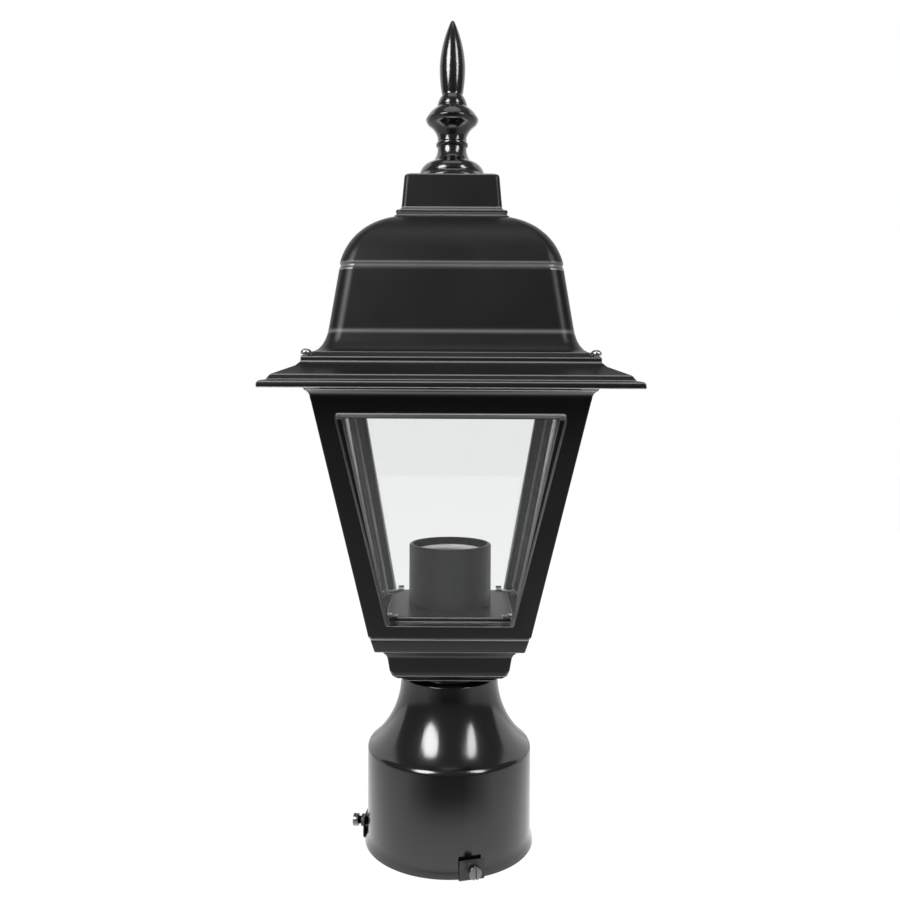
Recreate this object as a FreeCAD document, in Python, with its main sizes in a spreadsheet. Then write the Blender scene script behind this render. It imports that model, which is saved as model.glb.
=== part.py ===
"""Small square lantern in the victorian manner, made to stand on a round post.

Lengths are millimetres. The Z axis runs up the middle of the post, X is to the right and -Y to the
front. Z = 0 is the lowest point, where the clip nuts wrap the rim of the collar. Every size below goes
into a spreadsheet, and the pieces are tied to its cells by expressions.
"""
import FreeCAD, Part
import math
import os
import types

import Sketcher

SIZES = (
    # Clip nuts and clamp screws
    ("clip_sheet", 0.6, "thickness of the spring steel of a clip nut"),
    ("clip_width", 12.0, "width of a clip nut along the rim"),
    ("clip_rise", 9.6, "height of a clip nut's legs"),
    ("clip_play", 0.1, "room between a clip nut and the collar"),
    ("barrel_radius", 3.0, "outside radius of the threaded barrel of a clip nut"),
    ("barrel_length", 1.8, "length of that barrel"),
    ("clamp_level", 5.6, "height of the clamp screws above the rim"),
    ("clamp_front_turn", -75.4, "direction of the front clamp screw, counted from +X"),
    ("clamp_back_turn", 49.1, "direction of the clamp screw at the back"),
    ("clamp_left_turn", 173.6, "direction of the clamp screw at the left"),
    ("clamp_radius", 2.0, "radius of a clamp screw"),
    ("clamp_length", 7.1, "length of a clamp screw under its head"),
    ("clamp_head_radius", 3.6, "radius of its head"),
    ("clamp_head_height", 3.1, "height of its head"),
    ("clamp_bare", 1.3, "bare screw between barrel and head"),
    ("clamp_play", 0.05, "room between a clamp screw and its barrel"),
    ("slot_width", 1.0, "width of a screwdriver slot"),
    ("slot_depth", 1.1, "depth of a screwdriver slot"),
    # Fitter: collar, bell and neck in one casting
    ("bore_radius", 38.7, "inside radius of the collar"),
    ("collar_radius", 40.8, "outside radius of the collar"),
    ("collar_height", 46.5, "height of the collar's straight wall"),
    ("flare_reach", 1.3, "how far the rim stands out"),
    ("flare_height", 6.0, "height of that flare"),
    ("bell_wall", 2.1, "wall of the bell"),
    ("bell_shoulder", 3.9, "bend of the bell's round shoulder"),
    ("bell_hollow", 43.1, "bend of the bell's hollow flank"),
    ("bell_turn_in", 2.0, "how far in from the collar shoulder and flank meet"),
    ("bell_turn_up", 3.1, "how far up from the collar they meet"),
    ("bell_height", 33.5, "height of the bell above the collar"),
    ("neck_radius", 24.3, "radius at the top of the bell"),
    ("neck_lip", 2.3, "straight lip above the bell"),
    ("neck_groove", 3.0, "depth of the groove above the lip"),
    ("neck_groove_height", 2.8, "height of the groove"),
    ("neck_top_wall", 3.0, "thickness of the closed top of the neck"),
    ("ring_half", 22.9, "half width of the square ring between neck and cage"),
    ("ring_height", 2.3, "height of that ring"),
    ("ring_corner", 3.2, "round on its corners"),
    ("ring_edge", 0.5, "bevel on its lower edge"),
    ("ring_bore", 15.0, "radius of its hole"),
    # Threaded tube that ties the stack together
    ("tube_radius", 5.1, "outside radius of the threaded tube"),
    ("tube_bore", 3.6, "bore of the threaded tube for the supply wires"),
    ("tube_play", 0.25, "room round the threaded tube in the castings"),
    ("thread_play", 0.05, "room between a screw thread and its nut"),
    ("tube_spare", 1.0, "threaded tube standing out of each nut"),
    ("nut_round", 8.1, "corner radius of the hexagon nuts on the tube"),
    ("nut_height", 3.5, "height of those nuts"),
    ("washer_radius", 8.6, "radius of the washers under those nuts"),
    ("washer_sheet", 1.0, "thickness of those washers"),
    # Cage: block, bottom ledge, four stiles and top flange in one casting
    ("block_foot", 25.3, "half width of the block's underside"),
    ("block_half", 28.5, "half width of the block above its round foot"),
    ("block_top_half", 29.5, "half width of the block under the ledge"),
    ("block_round", 4.6, "height of the block's round foot"),
    ("block_height", 13.4, "height of the block"),
    ("block_bore", 17.0, "radius of the hole cored in the block"),
    ("ledge_foot", 35.2, "half width of the bottom ledge at its foot"),
    ("ledge_half", 36.9, "half width of the ledge at its top"),
    ("ledge_cove", 1.7, "height of the hollow under the ledge"),
    ("shadow_line", 0.1, "rise of a face that is all but level"),
    ("ledge_height", 5.7, "height of the ledge"),
    ("cage_foot", 37.9, "half width of the cage where its taper starts"),
    ("cage_step", 2.0, "height of the small step from ledge to taper"),
    ("cage_half", 61.6, "half width of the cage where its taper ends"),
    ("cage_height", 110.1, "height of the taper"),
    ("cage_wall", 4.0, "depth of stiles and rails"),
    ("cage_corner", 0.8, "round on the outer corners of the cage"),
    ("stile_width", 9.9, "width of a stile's face"),
    ("sill_height", 5.7, "height of the window's lower edge above the taper's start"),
    ("head_height", 4.9, "height of the rail above the window"),
    ("head_bevel", 2.0, "height of the bevel on the window's upper edge"),
    ("floor_sheet", 3.0, "thickness of the cage's floor"),
    ("head_chamfer", 1.6, "chamfer on the outer edge of the rail above the window"),
    ("post_foot", 10.3, "depth of a corner post at the sill, from the cage's outer faces"),
    ("post_top", 12.5, "depth of a corner post where the taper ends"),
    ("floor_gap", 8.8, "distance of the raised floor from the cage's outer faces"),
    ("floor_rise", 2.3, "height of the raised floor above the sill"),
    ("flange_reach", 2.9, "how far the top flange stands out from the taper"),
    ("flange_band", 1.5, "height of the plain band under the flange's cove"),
    ("flange_cove", 4.5, "height of the cove under the flange"),
    ("flange_lean", 0.4, "how far the band under the flange leans out"),
    ("flange_edge", 0.9, "height of the flange's upper edge"),
    ("lug_reach", 5.0, "how far the corner lugs that take the roof screws stand out from the taper"),
    ("lug_size", 10.0, "side of a corner lug"),
    ("lug_height", 4.7, "height of a corner lug above the flange"),
    ("lug_play", 0.2, "room beside a corner lug"),
    # Panes and their clips
    ("pane_sheet", 2.0, "thickness of a pane"),
    ("pane_play", 0.15, "room between a pane and the stiles"),
    ("pane_inset", 3.9, "how far a pane's sides stay from the inner corner"),
    ("pane_over", 5.0, "how far a pane reaches above its window"),
    ("tab_sheet", 0.8, "thickness of a pane clip"),
    ("tab_width", 3.0, "width of a pane clip"),
    ("tab_rise", 2.6, "height of a pane clip"),
    ("tab_foot", 5.3, "length of a pane clip's foot"),
    ("tab_offset", 26.2, "distance of a pane clip from the middle of its pane"),
    ("tab_rivet", 0.8, "radius of a pane clip's rivet head"),
    # Socket cup and lampholder
    ("cup_radius", 20.5, "outside radius of the socket cup"),
    ("cup_height", 30.1, "height of the socket cup"),
    ("cup_wall", 1.8, "wall of the socket cup"),
    ("cup_floor", 2.0, "floor of the socket cup"),
    ("cup_fillet", 1.2, "round on the cup's inner lip"),
    ("holder_radius", 16.8, "outside radius of the porcelain lampholder"),
    ("holder_recess", 3.2, "how far the porcelain stays below the cup's rim"),
    ("holder_skirt", 12.2, "radius of the hollow under the lampholder"),
    ("holder_skirt_height", 6.0, "height of that hollow"),
    ("holder_web", 4.0, "thickness of the web that carries the contacts"),
    ("shell_radius", 14.0, "outside radius of the screw shell"),
    ("shell_foot", 13.1, "outside radius of the screw shell's narrow foot"),
    ("shell_foot_height", 3.7, "height of that foot"),
    ("shell_sheet", 0.6, "thickness of the screw shell"),
    ("shell_play", 0.15, "room between screw shell and porcelain"),
    ("shell_drop", 1.6, "how far the screw shell stays below the porcelain"),
    ("contact_width", 6.0, "width of the centre contact"),
    ("contact_sheet", 0.6, "thickness of the centre contact"),
    ("contact_reach", 5.0, "half length of the centre contact"),
    ("contact_rise", 4.0, "height of the centre contact's spring"),
    ("holder_screw_offset", 10.4, "distance of the lampholder's screws from its axis"),
    ("holder_screw_radius", 1.4, "radius of those screws"),
    ("holder_screw_head", 2.0, "radius of their heads"),
    ("holder_screw_head_height", 1.8, "height of their heads"),
    # Roof: brim, wall, dome and cap in one casting
    ("brim_half", 81.65, "half width of the brim"),
    ("brim_edge", 1.7, "height of the brim's upright edge"),
    ("brim_round", 1.4, "round above that edge"),
    ("brim_tread", 2.0, "width of the flat behind that round"),
    ("brim_riser", 2.6, "height of the step behind the flat"),
    ("brim_riser_in", 1.6, "how far that step leans in"),
    ("brim_slope", 3.9, "rise of the brim's slope"),
    ("brim_corner", 0.6, "round on the brim's corners"),
    ("ledge_lip", 2.0, "how far the slope's last steep part reaches out from the roof ledge"),
    ("roof_ledge_reach", 4.0, "how far the roof ledge stands out from the cage's taper"),
    ("roof_ledge_rise", 1.8, "rise of that steep part"),
    ("roof_ledge_edge", 2.2, "height of the roof ledge's upright edge"),
    ("roof_ledge_top", 2.3, "rise of the roof ledge's top"),
    ("cove_inset", 2.6, "how far the cove's foot stands in from the roof ledge"),
    ("cove_sweep", 77.4, "turn of the cove from its foot to its top, in degrees"),
    ("cove_step", 0.3, "width of the flat round the cove's foot"),
    ("cove_height", 12.0, "height of the cove"),
    ("wall_half", 55.4, "half width of the roof wall at its foot"),
    ("wall_top_half", 51.6, "half width of the roof wall at its top"),
    ("wall_height", 25.3, "height of the roof wall"),
    ("wall_corner", 8.0, "round on the corners of the roof wall"),
    ("bead_reach", 0.35, "how far the bevel above the wall stands in from the wall"),
    ("bead_height", 3.7, "height of that bead"),
    ("dome_bend", 33.5, "bend of the dome's flanks"),
    ("dome_from", 12.2, "slant of the dome's flank at its foot, in degrees"),
    ("dome_to", 71.2, "slant of the dome's flank at its top, in degrees"),
    ("dome_corner", 6.0, "round on the dome's corners at its top"),
    ("cap_moulding_half", 27.5, "half width of the moulding round the cap's foot"),
    ("cap_moulding_height", 4.4, "height of that moulding"),
    ("cap_foot_half", 24.3, "half width of the cap's foot"),
    ("cap_half", 23.0, "half width of the cap's top"),
    ("cap_height", 17.7, "height of the cap's walls"),
    ("cap_round", 1.5, "round on the cap's upper edge"),
    ("cap_corner", 2.4, "round on the cap's corners"),
    ("roof_wall", 2.8, "wall of the roof casting"),
    ("rib_reach", 3.8, "how far the rib that seats the roof stands out from the cage's taper"),
    ("rib_overhang", 4.6, "how far that rib reaches in from the taper"),
    # Roof screws
    ("roof_screw_inset", 3.2, "distance of a roof screw from the outer faces of its lug"),
    ("roof_screw_radius", 1.5, "radius of a roof screw"),
    ("roof_screw_head", 2.4, "radius of its head"),
    ("roof_screw_head_height", 2.4, "height of its head"),
    ("roof_screw_seat", 1.1, "height of its seat above the ledge's upright edge"),
    ("roof_screw_length", 12.6, "length under its head"),
    ("seat_play", 0.4, "room round a roof screw's head in its seat"),
    # Finial and its fixing
    ("finial_foot", 19.4, "radius of the finial's foot"),
    ("finial_foot_edge", 1.2, "height of the foot's edge"),
    ("finial_crease", 16.1, "radius of the crease above the foot's flare"),
    ("finial_flare_height", 3.8, "height of that flare"),
    ("finial_step_top", 10.5, "radius on top of the round step above the crease"),
    ("finial_step_height", 6.3, "height of that step"),
    ("finial_waist", 7.3, "radius of the waist"),
    ("finial_waist_height", 7.7, "height of the hollow up to the waist"),
    ("finial_ring", 7.9, "radius of the ring on the waist"),
    ("finial_ring_height", 2.7, "height of that ring"),
    ("finial_stem_height", 2.2, "height from the ring to the hollow under the bulb"),
    ("finial_bulb", 13.35, "radius of the bulb"),
    ("finial_bulb_under", 9.1, "height of the bulb below its widest place"),
    ("finial_bulb_over", 6.6, "height of the bulb above it"),
    ("finial_bulb_top", 7.3, "radius of the bulb's top"),
    ("finial_bead", 7.5, "radius of the bead above the bulb"),
    ("finial_bead_height", 6.2, "height of the bead"),
    ("finial_neck", 5.3, "radius of the spear's foot"),
    ("finial_spear", 6.5, "largest radius of the spear"),
    ("finial_spear_low", 13.7, "height of the spear below its widest place"),
    ("finial_spear_high", 23.4, "height of the spear above it, up to its round tip"),
    ("finial_tip", 0.9, "radius of the spear's round tip"),
    ("stud_radius", 3.0, "radius of the finial's stud"),
    ("stud_depth", 14.0, "length of stud in the finial"),
    ("stud_spare", 2.0, "stud standing out of its nut"),
    ("stud_nut_round", 5.8, "corner radius of the stud's nut"),
    ("stud_nut_height", 5.0, "height of the stud's nut"),
    ("stud_washer_radius", 8.0, "radius of the stud's washer"),
    ("stud_washer_sheet", 1.2, "thickness of the stud's washer"),
    # Ground screw in the neck
    ("ground_place", 13.0, "distance of the ground screw from the axis"),
    ("ground_radius", 2.0, "radius of the ground screw"),
    ("ground_head", 3.8, "radius of its head"),
    ("ground_head_height", 2.4, "height of its head"),
    ("ground_depth", 2.0, "length of its thread in the casting"),
)

FAR = 400.0          # longer than any cut needs to be
SIDES = 4


class Term:
    """A length with the expression that ties it to the sheet."""

    def __init__(self, value, text):
        self.value = value
        self.text = text

    def __add__(self, other):
        other = term(other)
        return Term(self.value + other.value, f"({self.text} + {other.text})")

    def __sub__(self, other):
        other = term(other)
        return Term(self.value - other.value, f"({self.text} - {other.text})")

    def __mul__(self, other):
        other = term(other)
        return Term(self.value * other.value, f"{self.text} * {other.text}")

    def __truediv__(self, other):
        other = term(other)
        return Term(self.value / other.value, f"{self.text} / ({other.text})")

    def __neg__(self):
        return Term(-self.value, f"(0 - {self.text})")

    __radd__ = __add__
    __rmul__ = __mul__

    def __rsub__(self, other):
        return term(other) - self


def term(value):
    """A plain number as a term."""
    return value if isinstance(value, Term) else Term(value, f"({value})")


def cosine(angle):
    """Cosine of a term in degrees."""
    return Term(math.cos(math.radians(angle.value)), f"cos({angle.text} * 1 deg)")


def sine(angle):
    """Sine of a term in degrees."""
    return Term(math.sin(math.radians(angle.value)), f"sin({angle.text} * 1 deg)")


doc = FreeCAD.newDocument("Lantern")
sheet = doc.addObject("Spreadsheet::Sheet", "Sizes")
for row, (alias, value, note) in enumerate(SIZES, start=1):
    sheet.set(f"A{row}", alias)
    sheet.set(f"B{row}", str(value))
    sheet.set(f"C{row}", note)
    sheet.setAlias(f"B{row}", alias)
doc.recompute()
size = types.SimpleNamespace(**{alias: Term(value, f"Sizes.{alias}") for alias, value, note in SIZES})


# Levels along the axis, each the sum of the heights below it
rim = size.clip_sheet
collar_top = rim + size.collar_height
bell_turn = collar_top + size.bell_turn_up
bell_top = collar_top + size.bell_height
neck_lip_top = bell_top + size.neck_lip
neck_top = neck_lip_top + size.neck_groove_height
block_base = neck_top + size.ring_height
ledge_base = block_base + size.block_height
ledge_start = ledge_base + size.ledge_cove
ledge_top = ledge_start + size.ledge_height
taper_base = ledge_top + size.cage_step
taper_top = taper_base + size.cage_height
sill = taper_base + size.sill_height
cup_base = sill + size.floor_rise
head = taper_top - size.head_height
flange_foot = taper_top + size.flange_band
flange_top = flange_foot + size.flange_cove
lug_top = flange_top + size.lug_height
brim_round_base = flange_top + size.brim_edge
brim_flat = brim_round_base + size.brim_round
brim_riser_top = brim_flat + size.brim_riser
brim_slope_top = brim_riser_top + size.brim_slope
roof_ledge_base = brim_slope_top + size.roof_ledge_rise
roof_ledge_edge_top = roof_ledge_base + size.roof_ledge_edge
cove_base = roof_ledge_edge_top + size.roof_ledge_top
wall_base = cove_base + size.cove_height
wall_top = wall_base + size.wall_height
dome_base = wall_top + size.bead_height
dome_top = dome_base + size.dome_bend * (sine(size.dome_to) - sine(size.dome_from))
cap_base = dome_top + size.cap_moulding_height
cap_top = cap_base + size.cap_height
cap_ceiling = cap_top - size.roof_wall


flange_half = size.cage_half + size.flange_reach
lug_half = size.cage_half + size.lug_reach
roof_screw_place = lug_half - size.roof_screw_inset
roof_ledge_half = size.cage_half + size.roof_ledge_reach
cove_half = roof_ledge_half - size.cove_inset
taper_lean = (size.cage_half - size.cage_foot) / size.cage_height


def taper_half(level):
    """Half width of the cage's taper at a level."""
    return size.cage_foot + (level - taper_base) * taper_lean


# Ways to draw and to build

def bind(thing, **terms):
    """Ties properties to terms; a double underscore stands for a dot."""
    for name, value in terms.items():
        thing.setExpression(name.replace("__", "."), term(value).text)
    return thing


def place(thing, x=None, y=None, z=None, turn=None, axis=FreeCAD.Vector(0, 0, 1)):
    """Ties a piece's place, and its turn about an axis, to terms."""
    if turn is not None:
        thing.Placement = FreeCAD.Placement(FreeCAD.Vector(), FreeCAD.Rotation(axis, term(turn).value))
        bind(thing, Placement__Rotation__Angle=turn)
    for name, value in (("x", x), ("y", y), ("z", z)):
        if value is not None:
            thing.setExpression(f"Placement.Base.{name}", term(value).text)
    return thing


def draw(sketch, corners):
    """Closes an outline through corners, each (across, up) in terms.

    A third value is the bend of the side that leaves the corner: its radius, minus where the side
    turns clockwise.
    """
    corners = [tuple(term(value) for value in corner) for corner in corners]
    count = len(corners)
    ends = []
    for number, corner in enumerate(corners):
        start = FreeCAD.Vector(corner[0].value, corner[1].value, 0)
        following = corners[(number + 1) % count]
        end = FreeCAD.Vector(following[0].value, following[1].value, 0)
        if len(corner) == 2:
            side = sketch.addGeometry(Part.LineSegment(start, end), False)
            ends.append((side, 1, 2))
            continue
        radius = abs(corner[2].value)
        turns_left = corner[2].value > 0
        chord = end - start
        inward = FreeCAD.Vector(-chord.y, chord.x, 0).normalize() * (1 if turns_left else -1)
        centre = (start + end) * 0.5 + inward * math.sqrt(radius ** 2 - chord.Length ** 2 / 4)
        first, last = (start, end) if turns_left else (end, start)
        from_angle = math.atan2(first.y - centre.y, first.x - centre.x)
        to_angle = math.atan2(last.y - centre.y, last.x - centre.x)
        circle = Part.Circle(centre, FreeCAD.Vector(0, 0, 1), radius)
        side = sketch.addGeometry(Part.ArcOfCircle(circle, from_angle, to_angle), False)
        ends.append((side, 1, 2) if turns_left else (side, 2, 1))
        bend = corner[2] if turns_left else -corner[2]
        number_of = sketch.addConstraint(Sketcher.Constraint("Radius", side, radius))
        sketch.setExpression(f"Constraints[{number_of}]", bend.text)
    for number, (side, first, last) in enumerate(ends):
        following = ends[(number + 1) % count]
        sketch.addConstraint(Sketcher.Constraint("Coincident", side, last, following[0], following[1]))
        for kind, value in zip(("DistanceX", "DistanceY"), corners[number][:2]):
            number_of = sketch.addConstraint(Sketcher.Constraint(kind, side, first, value.value))
            sketch.setExpression(f"Constraints[{number_of}]", value.text)
    return sketch


def drawn_on(body, plane, corners):
    """A sketch of an outline on one of a body's own planes."""
    sketch = body.newObject("Sketcher::SketchObject", f"{body.Name}_outline")
    origin = [part for part in body.Origin.OriginFeatures if part.Role == plane][0]
    sketch.AttachmentSupport = [(origin, "")]
    sketch.MapMode = "FlatFace"
    return draw(sketch, corners)


def turned(name, corners):
    """A round piece, turned about Z from its outline of (radius, level)."""
    body = doc.addObject("PartDesign::Body", name)
    sketch = drawn_on(body, "XZ_Plane", corners)
    spin = body.newObject("PartDesign::Revolution", f"{name}_turned")
    spin.Profile = sketch
    spin.ReferenceAxis = (sketch, ["V_Axis"])
    spin.Angle = 360
    return body


def padded(name, plane, corners, depth):
    """A piece of one section, padded to both sides of its sketch."""
    body = doc.addObject("PartDesign::Body", name)
    sketch = drawn_on(body, plane, corners)
    pad = body.newObject("PartDesign::Pad", f"{name}_pad")
    pad.Profile = sketch
    pad.Midplane = True
    bind(pad, Length=depth)
    return body


def rounded_square(name, half, corner, level):
    """A level sketch of a square with round corners."""
    sketch = doc.addObject("Sketcher::SketchObject", name)
    flat = half - corner
    walk = ((1, -1), (1, 1), (-1, 1), (-1, -1))
    corners = []
    for right, up in walk:
        if right * up < 0:
            first, last = (flat * right, half * up), (half * right, flat * up)
        else:
            first, last = (half * right, flat * up), (flat * right, half * up)
        corners.append(first + (corner,))
        corners.append(last)
    draw(sketch, corners)
    place(sketch, z=level)
    return sketch


def loft(name, stations, smooth=False):
    """A solid through level squares, each (half width, level, corner)."""
    rings = [rounded_square(f"{name}_{number}", half, corner, level)
             for number, (half, level, corner) in enumerate(stations)]
    solid = doc.addObject("Part::Loft", name)
    solid.Sections = rings
    solid.Solid = True
    solid.Ruled = not smooth
    return solid


def block(name, x_from, x_to, y_from, y_to, z_from, z_to):
    """A box between six terms."""
    box = doc.addObject("Part::Box", name)
    bind(box, Length=term(x_to) - x_from, Width=term(y_to) - y_from, Height=term(z_to) - z_from)
    return place(box, x_from, y_from, z_from)


def rod(name, radius, base, height, x=0, y=0):
    """An upright cylinder."""
    solid = doc.addObject("Part::Cylinder", name)
    bind(solid, Radius=radius, Height=height)
    return place(solid, x, y, base)


def hexagon(name, corner_radius, base, height):
    """An upright hexagon bar."""
    solid = doc.addObject("Part::Prism", name)
    solid.Polygon = 6
    bind(solid, Circumradius=corner_radius, Height=height)
    return place(solid, z=base)


def slab(name, base, foot, top, foot_depth, top_depth):
    """A leaning slab at the front of the cage.

    base is (lower level, upper level), foot and top its half widths there, and the depths
    (outer, inner) its distances from the axis.
    """
    wedge = doc.addObject("Part::Wedge", name)
    lower, upper = base
    # The wedge's own Y runs up here, and its own Z to the front
    bind(wedge, Ymin=lower, Ymax=upper, Xmin=-foot, Xmax=foot, X2min=-top, X2max=top,
         Zmin=foot_depth[1], Zmax=foot_depth[0], Z2min=top_depth[1], Z2max=top_depth[0])
    return wedge


def stand(wedge, name, turn):
    """Stands a wedge up and turns it to one side of the lantern."""
    upright = FreeCAD.Rotation(FreeCAD.Vector(1, 0, 0), 90)
    about = FreeCAD.Rotation(FreeCAD.Vector(0, 0, 1), turn)
    wedge.Placement = FreeCAD.Placement(FreeCAD.Vector(), about.multiply(upright))
    wedge.Label = name
    return wedge


def fuse(name, *solids):
    """One solid of several."""
    joined = doc.addObject("Part::MultiFuse", name)
    joined.Shapes = list(solids)
    joined.Refine = True
    return joined


def cut(name, base, *tools):
    """A solid less its tools."""
    tool = tools[0] if len(tools) == 1 else fuse(f"{name}_tools", *tools)
    solid = doc.addObject("Part::Cut", name)
    solid.Base = base
    solid.Tool = tool
    return solid


def group(name, solids):
    """Like pieces kept together as one node, each a solid of its own."""
    gathered = doc.addObject("Part::Compound", name)
    gathered.Links = list(solids)
    return gathered


nodes = []


def node(name, solid):
    """Names a finished piece and lists it for writing."""
    solid.Label = name
    nodes.append(solid)
    return solid


clamp_turns = (size.clamp_front_turn, size.clamp_back_turn, size.clamp_left_turn)


# Faces of the clip nuts, as distances from the axis
rim_radius = size.collar_radius + size.flare_reach
leg_inner = rim_radius + size.clip_play
leg_outer = leg_inner + size.clip_sheet
pocket_face = size.bore_radius + size.clip_sheet + 3 * size.clip_play
inner_leg_outer = pocket_face - size.clip_play
barrel_end = leg_outer + size.barrel_length
clamp_head_face = barrel_end + size.clamp_bare
clamp_axis = rim + size.clamp_level


# Fitter
def make_fitter():
    inner_turn_radius = size.collar_radius - size.bell_turn_in - size.bell_wall * 0.64
    inner_turn = bell_turn - size.bell_wall * 0.77
    inner_neck = size.neck_radius - size.bell_wall
    hole = size.tube_radius + size.tube_play
    shape = turned("fitter_casting", (
        (size.bore_radius, rim),
        (rim_radius, rim),
        (size.collar_radius, rim + size.flare_height),
        (size.collar_radius, collar_top, size.bell_shoulder),
        (size.collar_radius - size.bell_turn_in, bell_turn, -size.bell_hollow),
        (size.neck_radius, bell_top),
        (size.neck_radius, neck_lip_top),
        (size.neck_radius - size.neck_groove, neck_lip_top + size.neck_groove / 2),
        (size.neck_radius - size.neck_groove, neck_top),
        (hole, neck_top),
        (hole, neck_top - size.neck_top_wall),
        (inner_neck, neck_top - size.neck_top_wall),
        (inner_neck, bell_top, size.bell_hollow + size.bell_wall),
        (inner_turn_radius, inner_turn, size.bell_wall - size.bell_shoulder),
        (size.bore_radius, collar_top),
    ))
    cuts = []
    reach = size.clip_width / 2 + size.clip_play * 3
    rise = size.clip_rise + size.clip_play * 5
    for number, turn in enumerate(clamp_turns):
        pocket = padded(f"clip_pocket_{number}", "XZ_Plane", (
            (size.bore_radius - size.bell_wall, 0),
            (pocket_face, 0),
            (pocket_face, rise),
            (size.bore_radius - size.bell_wall, rise)), reach * 2)
        place(pocket, turn=turn)
        hole = padded(f"clamp_hole_{number}", "XZ_Plane", (
            (size.bore_radius - size.bell_wall, clamp_axis - size.clamp_radius - size.tube_play),
            (rim_radius + size.clamp_head_radius, clamp_axis - size.clamp_radius - size.tube_play),
            (rim_radius + size.clamp_head_radius, clamp_axis + size.clamp_radius + size.tube_play),
            (size.bore_radius - size.bell_wall, clamp_axis + size.clamp_radius + size.tube_play)),
            (size.clamp_radius + size.tube_play) * 2)
        place(hole, turn=turn)
        cuts += [pocket, hole]
    cuts.append(rod("ground_hole", size.ground_radius + size.thread_play, neck_top - size.neck_top_wall,
                    size.ground_depth, x=size.ground_place))
    return node("fitter", cut("fitter_cut", shape, *cuts))


# Clip nut: spring steel folded over the rim, with a threaded barrel drawn out of its outer leg
def make_clip_nut(number, turn):
    top = size.clip_rise
    sheet_metal = padded(f"clip_sheet_{number}", "XZ_Plane", (
        (inner_leg_outer - size.clip_sheet, 0),
        (leg_outer, 0),
        (leg_outer, top),
        (leg_inner, top),
        (leg_inner, size.clip_sheet - size.clip_play / 2),
        (inner_leg_outer, size.clip_sheet - size.clip_play / 2),
        (inner_leg_outer, top),
        (inner_leg_outer - size.clip_sheet, top)), size.clip_width)
    barrel = doc.addObject("Part::Cylinder", f"clip_barrel_{number}")
    bind(barrel, Radius=size.barrel_radius, Height=size.barrel_length + size.clip_sheet)
    place(barrel, x=leg_inner, z=clamp_axis, turn=90, axis=FreeCAD.Vector(0, 1, 0))
    bore = doc.addObject("Part::Cylinder", f"clip_bore_{number}")
    bind(bore, Radius=size.clamp_radius + size.clamp_play, Height=barrel_end)
    place(bore, x=size.bore_radius / 2, z=clamp_axis, turn=90, axis=FreeCAD.Vector(0, 1, 0))
    solid = cut(f"clip_nut_{number}", fuse(f"clip_body_{number}", sheet_metal, barrel), bore)
    return place(solid, turn=turn)


# Clamp screw: slotted head outside, tip level with the collar's bore
def make_clamp_screw(number, turn):
    name = f"clamp_screw_{number + 1}"
    edge = size.slot_depth / 2
    body = turned(f"{name}_blank", (
        (0, 0),
        (size.clamp_radius - edge, 0),
        (size.clamp_radius, edge),
        (size.clamp_radius, size.clamp_length),
        (size.clamp_head_radius, size.clamp_length),
        (size.clamp_head_radius, size.clamp_length + size.clamp_head_height - edge),
        (size.clamp_head_radius - edge, size.clamp_length + size.clamp_head_height),
        (0, size.clamp_length + size.clamp_head_height)))
    # Tip end first, laid along +X
    place(body, x=clamp_head_face - size.clamp_length, z=clamp_axis, turn=90,
          axis=FreeCAD.Vector(0, 1, 0))
    head_top = clamp_head_face + size.clamp_head_height
    slot = block(f"{name}_slot", head_top - size.slot_depth, head_top + size.slot_depth,
                 -size.slot_width / 2, size.slot_width / 2,
                 clamp_axis - size.clamp_head_radius * 2, clamp_axis + size.clamp_head_radius * 2)
    return node(name, place(cut(f"{name}_cut", body, slot), turn=turn))


def make_neck_ring():
    plate = loft("neck_ring_plate", (
        (size.ring_half - size.ring_edge, neck_top, size.ring_corner - size.ring_edge),
        (size.ring_half, neck_top + size.ring_edge, size.ring_corner),
        (size.ring_half, block_base, size.ring_corner)))
    return node("neck_ring", cut("neck_ring_cut", plate,
                                 rod("neck_ring_hole", size.ring_bore, neck_top, size.ring_height)))


# Cage
FLANGE_STEPS = 4


def flange_stations(corner):
    """Squares up the hollow under the flange, from the upright outwards."""
    foot_half = size.cage_half + size.flange_lean
    height = size.flange_cove - size.flange_edge
    stations = []
    for step in range(FLANGE_STEPS + 1):
        slant = size.cove_sweep * (step / FLANGE_STEPS)
        out = (1 - cosine(slant)) / (1 - cosine(size.cove_sweep))
        up = sine(slant) / sine(size.cove_sweep)
        stations.append((foot_half + (flange_half - foot_half) * out, flange_foot + height * up, corner))
    return stations


def corner_post(number):
    """A bar inside a corner of the cage; its grooves for the panes are cut later."""
    wedge = doc.addObject("Part::Wedge", f"corner_post_{number}")
    outer = [half - size.cage_wall / 2 for half in (taper_half(sill), size.cage_half)]
    inner = [taper_half(sill) - size.post_foot, size.cage_half - size.post_top]
    # The wedge's own Y runs up here, and its own Z to the front
    bind(wedge, Ymin=sill, Ymax=taper_top, Xmin=inner[0], Xmax=outer[0], X2min=inner[1], X2max=outer[1],
         Zmin=inner[0], Zmax=outer[0], Z2min=inner[1], Z2max=outer[1])
    return stand(wedge, wedge.Name, number * 360 / SIDES)


def pane_groove(number):
    """The room of a pane and its play, cut from the corner posts beside it."""
    top = taper_top + size.pane_over
    widths = [taper_half(level) - size.cage_wall - size.pane_inset + size.pane_play for level in (sill, top)]
    depths = []
    for level in (sill, top):
        outer = taper_half(level) - size.cage_wall
        depths.append((outer, outer - size.pane_sheet - size.pane_play * 2))
    wedge = slab(f"pane_groove_{number}", (sill, top), widths[0], widths[1], depths[0], depths[1])
    return stand(wedge, wedge.Name, number * 360 / SIDES)


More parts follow.
